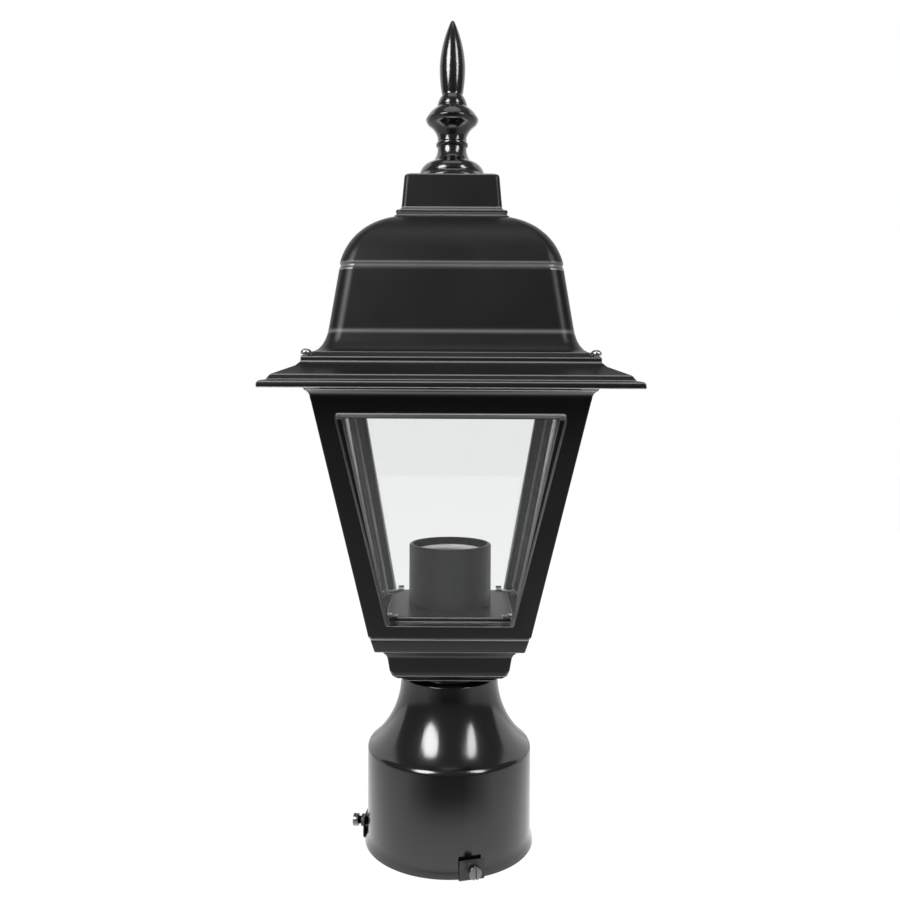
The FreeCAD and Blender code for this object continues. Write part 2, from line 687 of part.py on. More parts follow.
def head_bevel_cut(number, half):
    """The chamfer along the outer edge of the rail above a window."""
    face = taper_half(head)
    over = size.cage_wall / 2
    prism = padded(f"head_chamfer_{number}", "YZ_Plane", (
        (face + over, head - over),
        (face + over, head + size.head_chamfer + over),
        (face - size.head_chamfer - over, head - over)), half * 2)
    return place(prism, turn=number * 360 / SIDES)


def make_cage():
    corner = size.cage_corner
    outside = loft("cage_outside", (
        (size.block_foot, block_base, corner),
        (size.block_foot + (size.block_half - size.block_foot) * 0.7,
         block_base + size.block_round * 0.35, corner * 3),
        (size.block_half, block_base + size.block_round, corner),
        (size.block_top_half, ledge_base - size.ledge_cove * 1.5, corner),
        (size.block_top_half + size.ledge_cove * 0.4, ledge_base - size.ledge_cove * 0.6, corner),
        (size.block_top_half + size.ledge_cove, ledge_base, corner),
        (size.block_top_half + size.ledge_cove * 1.4, ledge_start - size.shadow_line, corner),
        (size.ledge_foot, ledge_start, corner),
        (size.ledge_half, ledge_top, corner),
        (size.ledge_half, ledge_top + size.cage_step * 0.4, corner),
        (size.cage_foot, taper_base, corner),
        (size.cage_half, taper_top, corner),
        *flange_stations(corner),
        (flange_half, flange_top, corner)))
    lugs = [block(f"lug_{number}", *spans, flange_top, lug_top)
            for number, spans in enumerate(lug_spans(size.lug_size, 0))]
    inside = loft("cage_inside", (
        (taper_half(sill) - size.cage_wall, sill, corner),
        (size.cage_half - size.cage_wall, taper_top, corner),
        (size.cage_half - size.cage_wall, lug_top, corner)))
    sill_half = taper_half(sill) - size.stile_width
    head_half = taper_half(head) - size.stile_width
    windows = []
    for side in range(2):
        opening = padded(f"window_{side}", ("XZ_Plane", "YZ_Plane")[side], (
            (-sill_half, sill), (sill_half, sill),
            (head_half, head - size.head_bevel), (head_half - size.head_bevel * 0.3, head),
            (-head_half + size.head_bevel * 0.3, head), (-head_half, head - size.head_bevel)), FAR)
        windows.append(opening)
    floor_half = taper_half(sill) - size.floor_gap
    floor = block("raised_floor", -floor_half, floor_half, -floor_half, floor_half,
                  sill - size.floor_rise, cup_base)
    posts = cut("corner_posts", fuse("post_bars", *[corner_post(number) for number in range(SIDES)]),
                *[pane_groove(number) for number in range(SIDES)])
    bevels = [head_bevel_cut(number, head_half) for number in range(SIDES)]
    bore = rod("cage_bore", size.block_bore, block_base, cup_base - size.floor_sheet - block_base)
    hole = rod("cage_hole", size.tube_radius + size.tube_play, block_base, cup_base - block_base)
    threads = [rod(f"lug_hole_{number}", size.roof_screw_radius, screw_tip, lug_top - screw_tip,
                   roof_screw_place * right, roof_screw_place * back)
               for number, (right, back) in enumerate(CORNERS)]
    frame = cut("cage_frame", fuse("cage_full", outside, *lugs), inside, *windows, *bevels)
    return node("cage", cut("cage_cut", fuse("cage_whole", frame, posts, floor), bore, hole, *threads))


CORNERS = ((1, -1), (1, 1), (-1, 1), (-1, -1))
screw_seat = roof_ledge_edge_top + size.roof_screw_seat
screw_tip = screw_seat - size.roof_screw_length


def lug_spans(side, grow):
    """Spans along X and Y of the four corner lugs, grown on every side."""
    spans = []
    outer = lug_half + grow
    inner = lug_half - side - grow
    for right, back in CORNERS:
        across = (inner, outer) if right > 0 else (-outer, -inner)
        along = (inner, outer) if back > 0 else (-outer, -inner)
        spans.append(across + along)
    return spans


# Panes: four leaning sheets inside the stiles, standing on the floor
def make_pane(name, turn):
    top = head + size.pane_over
    widths = [taper_half(level) - size.cage_wall - size.pane_inset for level in (sill, top)]
    depths = []
    for level in (sill, top):
        outer = taper_half(level) - size.cage_wall - size.pane_play
        depths.append((outer, outer - size.pane_sheet))
    wedge = slab(f"{name}_sheet", (sill, top), widths[0], widths[1], depths[0], depths[1])
    return node(name, stand(wedge, name, turn))


# Pane clip: a folded tab on the floor that holds a pane against the stiles
def make_pane_clip(number, side, offset):
    face = taper_half(cup_base) - size.cage_wall - size.pane_play * 2 - size.pane_sheet
    top = size.tab_rise
    tab = padded(f"tab_{number}", "YZ_Plane", (
        (face - size.tab_foot, cup_base),
        (face, cup_base),
        (face + taper_lean * top, cup_base + top),
        (face + taper_lean * top - size.tab_sheet, cup_base + top),
        (face - size.tab_sheet, cup_base + size.tab_sheet),
        (face - size.tab_foot, cup_base + size.tab_sheet)), size.tab_width)
    rivet = rod(f"tab_rivet_{number}", size.tab_rivet, cup_base + size.tab_sheet / 2, size.tab_sheet,
                y=face - size.tab_foot + size.tab_rivet * 1.4)
    both = fuse(f"tab_pair_{number}", tab, rivet)
    moved = doc.addObject("Part::Compound", f"tab_moved_{number}")
    moved.Links = [both]
    place(moved, x=offset)
    turned_tab = doc.addObject("Part::Compound", f"tab_turned_{number}")
    turned_tab.Links = [moved]
    return place(turned_tab, turn=side * 360 / SIDES)


# Socket cup and what it holds
cup_inside = cup_base + size.cup_floor
cup_rim = cup_base + size.cup_height
holder_top = cup_rim - size.holder_recess
web_base = cup_inside + size.holder_skirt_height
web_top = web_base + size.holder_web


def make_socket_cup():
    hole = size.tube_radius + size.tube_play
    inner = size.cup_radius - size.cup_wall
    blank = turned("socket_cup_turned", (
        (hole, cup_base),
        (size.cup_radius, cup_base),
        (size.cup_radius, cup_rim - size.cup_fillet / 2),
        (size.cup_radius - size.cup_fillet / 2, cup_rim),
        (inner, cup_rim),
        (inner, cup_inside),
        (hole, cup_inside)))
    threads = [rod(f"cup_thread_{number}", size.holder_screw_radius, cup_base,
                   size.cup_floor, x=size.holder_screw_offset * side)
               for number, side in enumerate((1, -1))]
    return node("socket_cup", cut("socket_cup_cut", blank, *threads))


def make_lampholder():
    well = size.shell_radius + size.shell_play
    hole = size.tube_bore / 2
    lip = size.cup_fillet / 2
    blank = turned("lampholder_turned", (
        (size.holder_skirt, cup_inside),
        (size.holder_radius, cup_inside),
        (size.holder_radius, holder_top - lip, lip * 1.1),
        (size.holder_radius - lip, holder_top),
        (well + lip, holder_top, lip * 1.1),
        (well, holder_top - lip),
        (well, web_top),
        (hole, web_top),
        (hole, web_base),
        (size.holder_skirt, web_base)))
    holes = [rod(f"holder_hole_{number}", size.holder_screw_radius + size.tube_play, web_base,
                 size.holder_web, x=size.holder_screw_offset * side)
             for number, side in enumerate((1, -1))]
    return node("lampholder", cut("lampholder_cut", blank, *holes))


def make_screw_shell():
    outer = size.shell_radius
    foot = size.shell_foot
    sheet_metal = size.shell_sheet
    foot_top = web_top + size.shell_foot_height
    top = holder_top - size.shell_drop
    return node("screw_shell", turned("screw_shell_turned", (
        (foot - sheet_metal, web_top),
        (foot, web_top),
        (foot, foot_top - sheet_metal),
        (outer, foot_top),
        (outer, top),
        (outer - sheet_metal, top),
        (outer - sheet_metal, foot_top + sheet_metal),
        (foot - sheet_metal, foot_top))))


# Centre contact: a strip bent into a low arch, held by a rivet through the web
def make_centre_contact():
    reach = size.contact_reach
    sheet_metal = size.contact_sheet
    rise = size.contact_rise
    return node("centre_contact", padded("centre_contact_strip", "YZ_Plane", (
        (-reach, web_top),
        (0, web_top),
        (reach, web_top + rise - sheet_metal * 2),
        (reach * 0.5, web_top + rise),
        (-reach * 0.2, web_top + rise),
        (-reach * 0.2, web_top + rise - sheet_metal),
        (reach * 0.4, web_top + rise - sheet_metal),
        (reach * 0.75, web_top + rise - sheet_metal * 2),
        (-sheet_metal * 0.4, web_top + sheet_metal),
        (-reach, web_top + sheet_metal)), size.contact_width))


def make_contact_rivet():
    hole = size.tube_bore / 2
    play = size.thread_play
    head_radius = hole + size.contact_sheet * 2
    drop = size.contact_sheet
    return node("contact_rivet", turned("contact_rivet_turned", (
        (0, web_base - drop),
        (head_radius, web_base - drop),
        (head_radius, web_base),
        (hole - play, web_base),
        (hole - play, web_top),
        (0, web_top))))


def make_holder_screw(number, side):
    head_base = web_top
    tip = cup_base
    blank = turned(f"holder_screw_blank_{number}", (
        (0, tip),
        (size.holder_screw_radius, tip),
        (size.holder_screw_radius, head_base),
        (size.holder_screw_head, head_base),
        (size.holder_screw_head, head_base + size.holder_screw_head_height * 0.5),
        (size.holder_screw_head * 0.8, head_base + size.holder_screw_head_height),
        (0, head_base + size.holder_screw_head_height)))
    top = head_base + size.holder_screw_head_height
    slot = block(f"holder_screw_slot_{number}", -size.slot_width / 2, size.slot_width / 2,
                 -size.holder_screw_head * 2, size.holder_screw_head * 2,
                 top - size.slot_depth * 0.8, top + size.slot_depth)
    solid = cut(f"holder_screw_{number}", blank, slot)
    return place(solid, x=size.holder_screw_offset * side)


# Threaded tube, nuts and washers
lower_washer_base = neck_top - size.neck_top_wall - size.washer_sheet
lower_nut_base = lower_washer_base - size.nut_height
upper_nut_base = cup_inside + size.washer_sheet
upper_nut_top = upper_nut_base + size.nut_height


def make_tube():
    base = lower_nut_base - size.tube_spare
    top = upper_nut_top + size.tube_spare
    edge = size.tube_play * 2
    return node("threaded_tube", turned("threaded_tube_turned", (
        (size.tube_bore, base),
        (size.tube_radius - edge, base),
        (size.tube_radius, base + edge),
        (size.tube_radius, top - edge),
        (size.tube_radius - edge, top),
        (size.tube_bore, top))))


def make_washer(name, base, outer, hole, thickness):
    return node(name, turned(f"{name}_turned", (
        (hole, base),
        (outer, base),
        (outer, base + thickness),
        (hole, base + thickness))))


def make_nut(name, base, corner_radius, hole, height):
    """A hexagon nut with its corners turned away at both faces."""
    bar = hexagon(f"{name}_bar", corner_radius, base, height)
    edge = corner_radius * 0.12
    turned_bar = turned(f"{name}_chamfer", (
        (hole, base),
        (corner_radius - edge, base),
        (corner_radius, base + edge * 0.6),
        (corner_radius, base + height - edge * 0.6),
        (corner_radius - edge, base + height),
        (hole, base + height)))
    both = doc.addObject("Part::Common", f"{name}_common")
    both.Base = bar
    both.Tool = turned_bar
    return node(name, both)


def make_ground_screw():
    face = neck_top - size.neck_top_wall
    blank = turned("ground_screw_blank", (
        (0, face - size.ground_head_height),
        (size.ground_head, face - size.ground_head_height),
        (size.ground_head, face),
        (size.ground_radius, face),
        (size.ground_radius, face + size.ground_depth),
        (0, face + size.ground_depth)))
    slot = block("ground_slot", -size.ground_head * 2, size.ground_head * 2,
                 -size.slot_width / 2, size.slot_width / 2,
                 face - size.ground_head_height * 2, face - size.ground_head_height + size.slot_depth)
    return node("ground_screw", place(cut("ground_screw_cut", blank, slot), x=size.ground_place))


# Roof
DOME_STEPS = 6
COVE_STEPS = 6


def dome_stations(bend, from_half, base, corner_loss):
    """Squares up the dome's round flank."""
    stations = []
    for step in range(DOME_STEPS + 1):
        share = step / DOME_STEPS
        slant = size.dome_from + (size.dome_to - size.dome_from) * share
        half = from_half + bend * (cosine(slant) - cosine(size.dome_from))
        level = base + bend * (sine(slant) - sine(size.dome_from))
        corner = size.wall_corner + (size.dome_corner - size.wall_corner) * share - corner_loss
        stations.append((half, level, corner))
    return stations


def cove_stations(foot_half, foot, top_half, top, corner):
    """Squares up the hollow between ledge and wall, a quarter of an ellipse."""
    stations = []
    for step in range(COVE_STEPS + 1):
        slant = size.cove_sweep * (step / COVE_STEPS)
        half = foot_half - (foot_half - top_half) * sine(slant) / sine(size.cove_sweep)
        rise = (1 - cosine(slant)) / (1 - cosine(size.cove_sweep))
        if step:
            level = foot + (top - foot) * rise
        else:
            level = foot + size.cove_step / 10
        stations.append((half, level, corner))
    return stations


def make_roof():
    corner = size.wall_corner
    sharp = size.brim_corner
    tread = size.brim_half - size.brim_round - size.brim_tread
    riser_top = tread - size.brim_riser_in
    slope_top = roof_ledge_half + size.ledge_lip
    bead = size.wall_top_half - size.bead_reach
    lower = [
        (size.brim_half, flange_top, sharp),
        (size.brim_half, brim_round_base, sharp),
        (size.brim_half - size.brim_round * 0.3, brim_round_base + size.brim_round * 0.7, sharp),
        (size.brim_half - size.brim_round, brim_flat, sharp),
        (tread, brim_flat + size.shadow_line * 3, sharp),
        (riser_top, brim_riser_top, sharp),
        (slope_top, brim_slope_top, sharp),
        (roof_ledge_half, roof_ledge_base, sharp),
        (roof_ledge_half, roof_ledge_edge_top, sharp),
        (cove_half + size.cove_step, cove_base, sharp * 2)]
    lower += cove_stations(cove_half, cove_base, size.wall_half, wall_base, corner)
    lower += [
        (size.wall_top_half, wall_top, corner),
        (size.wall_top_half, wall_top + size.bead_height * 0.2, corner),
        (bead - size.bead_reach, wall_top + size.bead_height * 0.62, corner),
        (bead - size.bead_reach, wall_top + size.bead_height * 0.78, corner),
        (bead, dome_base, corner)]
    brim_and_sides = loft("brim_and_sides", lower)
    dome = loft("dome", dome_stations(size.dome_bend, bead, dome_base, 0), smooth=True)
    moulding = size.cap_moulding_half
    third = size.cap_moulding_height / 3
    round_corner = size.cap_corner
    cap = loft("cap", (
        (moulding - third * 0.4, dome_top - third * 0.2, round_corner),
        (moulding, dome_top + third * 0.15, round_corner),
        (moulding, dome_top + third * 0.65, round_corner),
        (moulding - third * 0.9, dome_top + third * 0.95, round_corner),
        (moulding - third * 0.9, dome_top + third * 1.15, round_corner),
        (moulding - third * 0.5, dome_top + third * 1.4, round_corner),
        (moulding - third * 0.5, cap_base - third * 0.5, round_corner),
        (size.cap_foot_half + size.cap_round * 0.6, cap_base - third * 0.2, round_corner),
        (size.cap_foot_half, cap_base + third * 0.5, round_corner),
        (size.cap_half, cap_top - size.cap_round, round_corner),
        (size.cap_half - size.cap_round * 0.3, cap_top - size.cap_round * 0.3, round_corner),
        (size.cap_half - size.cap_round, cap_top, round_corner)))
    wall_sheet = size.roof_wall
    inner_corner = corner - wall_sheet
    rib_half = size.cage_half + size.rib_reach
    rib_inner = size.cage_half - size.rib_overhang
    cove_in = loft("cove_inside", (
        (rib_inner, flange_top, inner_corner),
        (rib_inner, cove_base - wall_sheet * 0.6, inner_corner),
        (size.wall_half - wall_sheet, wall_base, inner_corner),
        (size.wall_top_half - wall_sheet, dome_base, inner_corner)))
    dome_in = loft("dome_inside", dome_stations(size.dome_bend - wall_sheet,
                                                size.wall_top_half - wall_sheet, dome_base,
                                                wall_sheet), smooth=True)
    cap_hole = size.cap_foot_half - wall_sheet * 1.4
    cap_in = loft("cap_inside", (
        (cap_hole, dome_base, round_corner),
        (size.cap_half - wall_sheet, cap_ceiling, round_corner)))
    skirt = wall_sheet * 1.1
    recess = cut("brim_recess",
                 loft("brim_inside", (
                     (size.brim_half - skirt, flange_top, sharp),
                     (size.brim_half - skirt, flange_top + size.brim_edge * 0.3, sharp),
                     (riser_top - skirt * 0.9, brim_riser_top - skirt, sharp),
                     (roof_ledge_half, roof_ledge_base - skirt * 1.3, sharp))),
                 block("rib", -rib_half, rib_half, -rib_half, rib_half,
                       flange_top - size.roof_wall, roof_ledge_base))
    pockets = [block(f"lug_pocket_{number}", *spans, flange_top - size.roof_wall, lug_top)
               for number, spans in enumerate(lug_spans(size.lug_size, size.lug_play))]
    drills = []
    for number, (right, back) in enumerate(CORNERS):
        spot = (roof_screw_place * right, roof_screw_place * back)
        drills.append(rod(f"roof_hole_{number}", size.roof_screw_radius + size.tube_play, lug_top,
                          screw_seat - lug_top, *spot))
        drills.append(rod(f"roof_seat_{number}", size.roof_screw_head + size.seat_play, screw_seat,
                          size.roof_wall * 2, *spot))
    drills.append(rod("stud_hole", size.stud_radius + size.tube_play, cap_ceiling, size.roof_wall))
    full = fuse("roof_full", brim_and_sides, dome, cap)
    return node("roof", cut("roof_cut", full, cove_in, dome_in, cap_in, recess, *pockets, *drills))


def make_roof_screw(number, right, back):
    head_top = size.roof_screw_head_height
    blank = turned(f"roof_screw_blank_{number}", (
        (0, -size.roof_screw_length),
        (size.roof_screw_radius * 0.5, -size.roof_screw_length),
        (size.roof_screw_radius, -size.roof_screw_length + size.roof_screw_radius),
        (size.roof_screw_radius, 0),
        (size.roof_screw_head, 0),
        (size.roof_screw_head, head_top * 0.45, size.roof_screw_head * 1.05),
        (0, head_top)))
    slot = block(f"roof_screw_slot_{number}", -size.slot_width / 2, size.slot_width / 2,
                 -size.roof_screw_head * 2, size.roof_screw_head * 2,
                 head_top - size.slot_depth, head_top + size.slot_depth)
    solid = cut(f"roof_screw_{number}", blank, slot)
    return place(solid, roof_screw_place * right, roof_screw_place * back, screw_seat,
                 turn=45 + 90 * number)


# Finial: a turned spear on a bulb, a ringed waist and a spreading foot
finial_base = cap_top


def make_finial():
    crease = finial_base + size.finial_flare_height
    step = crease + size.finial_step_height
    waist = step + size.finial_waist_height
    ring = waist + size.finial_ring_height
    stem = ring + size.finial_stem_height
    bulb = stem + size.finial_bulb_under
    bulb_top = bulb + size.finial_bulb_over
    neck = bulb_top + size.finial_bead_height
    spear = neck + size.finial_spear_low
    tip = spear + size.finial_spear_high
    bore = size.stud_radius + size.thread_play
    edge = size.finial_tip / 4
    return node("finial", turned("finial_turned", (
        (bore, finial_base),
        (size.finial_foot, finial_base),
        (size.finial_foot, finial_base + size.finial_foot_edge, -size.finial_flare_height * 1.6),
        (size.finial_crease, crease),
        (size.finial_crease + edge, crease + edge, size.finial_step_height * 1.1),
        (size.finial_step_top, step),
        (size.finial_step_top - edge * 2, step + edge, -size.finial_waist_height * 1.3),
        (size.finial_waist, waist),
        (size.finial_ring - edge, waist + edge, size.finial_ring_height * 0.6),
        (size.finial_ring - edge, ring - edge),
        (size.finial_waist, ring),
        (size.finial_waist, stem, -size.finial_bulb_under * 1.2),
        (size.finial_bulb * 0.88, bulb - size.finial_bulb_under * 0.3, size.finial_bulb_under * 0.55),
        (size.finial_bulb, bulb, size.finial_bulb_over * 2.1),
        (size.finial_bulb_top, bulb_top),
        (size.finial_bead, bulb_top + size.finial_bead_height * 0.1, size.finial_bead_height * 1.75),
        (size.finial_neck * 1.02, neck - size.finial_bead_height * 0.1),
        (size.finial_neck, neck, size.finial_spear_low * 5.7),
        (size.finial_spear, spear, size.finial_spear_high * 2.6),
        (size.finial_tip, tip, size.finial_tip * 1.25),
        (0, tip + size.finial_tip * 0.5),
        (0, finial_base + size.stud_depth),
        (bore, finial_base + size.stud_depth))))


def make_finial_stud():
    base = cap_ceiling - size.stud_washer_sheet - size.stud_nut_height - size.stud_spare
    edge = size.thread_play * 8
    top = finial_base + size.stud_depth
    return node("finial_stud", turned("finial_stud_turned", (
        (0, base),
        (size.stud_radius - edge, base),
        (size.stud_radius, base + edge),
        (size.stud_radius, top - edge),
        (size.stud_radius - edge, top),
        (0, top))))


make_finial()
make_finial_stud()
make_washer("finial_washer", cap_ceiling - size.stud_washer_sheet, size.stud_washer_radius,
            size.stud_radius + size.tube_play, size.stud_washer_sheet)
make_nut("finial_nut", cap_ceiling - size.stud_washer_sheet - size.stud_nut_height,
         size.stud_nut_round, size.stud_radius + size.thread_play, size.stud_nut_height)
make_roof()
node("roof_screws", group("roof_screw_group", [make_roof_screw(number, *spot)
                                               for number, spot in enumerate(CORNERS)]))
make_cage()
for side, name in enumerate(("pane_front", "pane_right", "pane_back", "pane_left")):
    make_pane(name, side * 90)
node("pane_clips", group("pane_clip_group", [
    make_pane_clip(side * 2 + end, side, size.tab_offset * (1, -1)[end])
    for side in range(SIDES) for end in range(2)]))
make_socket_cup()
make_lampholder()
make_screw_shell()
make_centre_contact()
make_contact_rivet()
node("lampholder_screws", group("holder_screw_group", [make_holder_screw(number, side)
                                                       for number, side in enumerate((1, -1))]))
make_tube()
tube_hole = size.tube_radius + size.thread_play
make_washer("upper_washer", cup_inside, size.washer_radius, size.tube_radius + size.tube_play,
            size.washer_sheet)
make_nut("upper_nut", upper_nut_base, size.nut_round, tube_hole, size.nut_height)
make_neck_ring()
make_washer("lower_washer", lower_washer_base, size.washer_radius, size.tube_radius + size.tube_play,
            size.washer_sheet)
make_nut("lower_nut", lower_nut_base, size.nut_round, tube_hole, size.nut_height)
make_fitter()
make_ground_screw()
node("clip_nuts", group("clip_nut_group", [make_clip_nut(number, turn)
                                           for number, turn in enumerate(clamp_turns)]))
for number, turn in enumerate(clamp_turns):
    make_clamp_screw(number, turn)

doc.recompute()

for thing in doc.Objects:
    if "Invalid" in thing.State or "Error" in thing.State:
        raise RuntimeError(f"{thing.Name} did not compute: {thing.State}")
for piece in nodes:
    if piece.Shape.isNull() or not piece.Shape.isValid() or not piece.Shape.Solids:
        raise RuntimeError(f"{piece.Label} has no valid solid")

os.makedirs("parts", exist_ok=True)
for piece in nodes:
    piece.Shape.exportStep(f"parts/{piece.Label}.step")
    box = piece.Shape.BoundBox
    print(f"{piece.Label:18s} solids {len(piece.Shape.Solids)} volume {piece.Shape.Volume:10.1f}"
          f" z {box.ZMin:7.2f} to {box.ZMax:7.2f} x {box.XMin:7.2f} to {box.XMax:7.2f}")
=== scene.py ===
"""Dresses the small square post-top lantern: coats, panes, sprung clips, threads, light and camera.

Lengths are metres. Z runs up the lantern's axis from the folds of the clip nuts, X to the right and -Y
to the front.
"""
import math

import bmesh
import bpy
from mathutils import Matrix, Vector


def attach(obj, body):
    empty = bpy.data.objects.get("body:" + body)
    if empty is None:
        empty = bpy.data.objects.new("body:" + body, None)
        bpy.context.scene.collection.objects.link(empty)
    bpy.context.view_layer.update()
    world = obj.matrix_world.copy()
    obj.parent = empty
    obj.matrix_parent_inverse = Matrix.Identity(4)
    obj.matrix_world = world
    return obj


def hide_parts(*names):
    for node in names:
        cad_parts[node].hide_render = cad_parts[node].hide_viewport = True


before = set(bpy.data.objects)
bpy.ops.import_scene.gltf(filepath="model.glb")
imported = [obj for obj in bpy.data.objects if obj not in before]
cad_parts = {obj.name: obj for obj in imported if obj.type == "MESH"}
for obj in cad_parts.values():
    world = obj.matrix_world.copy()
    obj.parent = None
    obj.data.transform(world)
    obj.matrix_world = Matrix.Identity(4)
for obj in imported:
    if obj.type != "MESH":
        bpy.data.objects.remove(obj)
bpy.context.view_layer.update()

bl_info = {
    "name": "Post-top Lantern",
    "version": (1, 0, 0),
    "blender": (4, 5, 0),
    "location": "3D View > Sidebar > Lantern",
    "description": "Finishes a square post-top lantern over its solids and lights it",
    "category": "Object",
}

# The turn that lays an upright piece along +X
ACROSS = (0.0, math.radians(90.0), 0.0)
# Edges that bend more than these are a fold, or a sharp edge that gets a small round
FOLD = math.radians(60.0)
ARRIS = math.radians(50.0)
# Faces that meet at less than this are one flat face, vertices nearer than this one vertex
FLAT = math.radians(0.4)
DOUBLE = 0.000001
WHITE = (1.0, 1.0, 1.0, 1.0)


# Sizes and colours a user would change

def length(name, description, default):
    """A length in metres."""
    return bpy.props.FloatProperty(name=name, description=description, default=default, unit="LENGTH",
                                   precision=5, min=0.0)


def share(name, description, default):
    """A number from nothing to all."""
    return bpy.props.FloatProperty(name=name, description=description, default=default,
                                   subtype="FACTOR", min=0.0, max=1.0)


def angle(name, description, degrees):
    """A turn, kept in radians."""
    return bpy.props.FloatProperty(name=name, description=description, default=math.radians(degrees),
                                   subtype="ANGLE")


def colour(name, description, default):
    """A linear colour."""
    return bpy.props.FloatVectorProperty(name=name, description=description, default=default, size=3,
                                         subtype="COLOR", min=0.0, max=1.0)


def power(name, description, default):
    """A lamp's power in watts."""
    return bpy.props.FloatProperty(name=name, description=description, default=default, unit="POWER",
                                   min=0.0)


class LanternFinishes(bpy.types.PropertyGroup):
    """Colours and sheen of the lantern's finishes."""
    coat_colour: colour("Coat", "Black powder coat on roof, cage and cup", (0.0035, 0.0035, 0.0038))
    coat_roughness: share("Coat Roughness", "How matt the powder coat is", 0.34)
    coat_peel: length("Coat Peel", "Height of the powder coat's fine peel", 0.000006)
    # A lighter coat colour, painted on rounded edges and on the roof's lines as a highlight
    edge_highlight_colour: colour("Edge Highlight", "Powder coat where it lies thin on an edge", (0.12, 0.12, 0.124))
    # Painted highlight lines on the roof: their heights, and half their heights
    shoulder_line: length("Shoulder Line", "Height of the light line under the roof's dome", 0.2827)
    cove_line: length("Cove Line", "Height of the light line over the roof's cove", 0.2524)
    shoulder_reach: length("Shoulder Reach", "Half the height of the dome's light line", 0.0024)
    cove_reach: length("Cove Reach", "Half the height of the cove's light line", 0.0016)
    gloss_colour: colour("Gloss", "Black enamel on finial and fitter", (0.002, 0.002, 0.0022))
    gloss_roughness: share("Gloss Roughness", "How matt the enamel is", 0.17)
    glass_colour: colour("Glass", "Tint of the clear panes", (0.93, 0.94, 0.935))
    zinc_colour: colour("Zinc", "Zinc plate on tabs, nuts and small screws", (0.45, 0.46, 0.48))
    clamp_colour: colour("Clamp Zinc", "Dull zinc on the clamp screws", (0.2, 0.2, 0.21))
    spring_colour: colour("Spring", "Black spring steel of the clip nuts", (0.055, 0.055, 0.057))
    spring_shade: colour("Spring Shade", "Darkest tone of the spring steel", (0.03, 0.03, 0.032))
    earth_colour: colour("Earth Screw", "Green dyed zinc of the earth screw", (0.04, 0.3, 0.1))
    earth_shade: colour("Earth Screw Shade", "Darkest tone of the earth screw", (0.02, 0.16, 0.05))
    brass_colour: colour("Brass", "Nickelled brass of shell and contact", (0.86, 0.84, 0.8))
    porcelain_colour: colour("Porcelain", "Glazed lampholder", (0.86, 0.85, 0.83))

    @property
    def highlight_lines(self):
        """Level and half height of the painted highlight lines on the roof, under its dome and over its
        cove.
        """
        return (self.shoulder_line, self.shoulder_reach), (self.cove_line, self.cove_reach)


class LanternCastings(bpy.types.PropertyGroup):
    """How far the edges of the lantern's solid pieces are rounded."""
    casting_edge: length("Casting Edge", "Round on the edges of roof and cage", 0.00045)
    turned_edge: length("Turned Edge", "Round on the edges of finial, fitter and cup", 0.00022)
    pane_edge: length("Pane Edge", "Ground edge of a pane", 0.0003)
    screw_edge: length("Screw Edge", "Round on the edges of the domed screws", 0.00018)
    crease: angle("Crease", "Edges that bend more than this are rounded", 28.0)
    head_low: length("Head Low", "Height just under the heads of the solid's windows", 0.2135)
    head_high: length("Head High", "Height just over the heads of the solid's windows", 0.2185)
    head_out: length("Head Out", "Distance from the axis beyond which a head's edges lie", 0.0525)
    head_aside: length("Head Aside", "Distance from a window's middle within which they lie", 0.0515)
    head_drop: length("Head Drop", "How far the windows' heads hang below the solid's", 0.0025)
    lean: share("Lean", "How far a side of the cage leans out over its height", 0.2155)


class LanternClamps(bpy.types.PropertyGroup):
    """Clip nuts and clamp screws on the collar's rim."""
    front_turn: angle("Front Turn", "Direction of the front screw, counted from the right", -75.4)
    back_turn: angle("Back Turn", "Direction of the screw at the back", 49.1)
    left_turn: angle("Left Turn", "Direction of the screw at the left", 173.6)
    level: length("Level", "Height of the screws", 0.0062)
    inner_leg: length("Inner Leg", "Distance of the clip's inner leg from the axis", 0.0392)
    outer_leg: length("Outer Leg", "Distance of its outer leg from the axis", 0.0425)
    spring: length("Spring", "Thickness of the spring steel", 0.0006)
    clip_width: length("Clip Width", "Width along the rim", 0.012)
    clip_height: length("Clip Height", "Height of the legs", 0.0096)
    clip_corner: length("Clip Corner", "Round on the corners of the legs", 0.00096)
    curl: length("Curl", "How far the top of the outer leg bends out", 0.00018)
    arris: length("Arris", "Round on the clip's edges", 0.0001)
    fold: length("Fold", "Bend of the folds under the rim", 0.0009)
    barrel: length("Barrel", "Outside radius of the threaded barrel", 0.003)
    barrel_end: length("Barrel End", "Distance of the barrel's end from the axis", 0.0446)
    thread: length("Thread", "Outside radius of the screw's thread", 0.002)
    play: length("Play", "Room round the thread in its barrel", 0.00005)
    thread_depth: length("Thread Depth", "Depth of the thread", 0.00024)
    pitch: length("Pitch", "Rise of the thread in one turn", 0.0007)
    point: length("Point", "Bevel on the screw's tip", 0.0003)
    bite: length("Bite", "How far the shank reaches into the head", 0.0006)
    tip: length("Tip", "Distance of the screw's tip from the axis", 0.0388)
    head_face: length("Head Face", "Distance of the head's underside from the axis", 0.0461)
    head: length("Head", "Radius of the head", 0.003)
    head_height: length("Head Height", "Height of the head", 0.0028)
    head_round: length("Head Round", "Round on the head's edges", 0.00035)
    slot: length("Slot", "Width of the screwdriver slot", 0.001)
    slot_depth: length("Slot Depth", "Depth of the screwdriver slot", 0.0011)


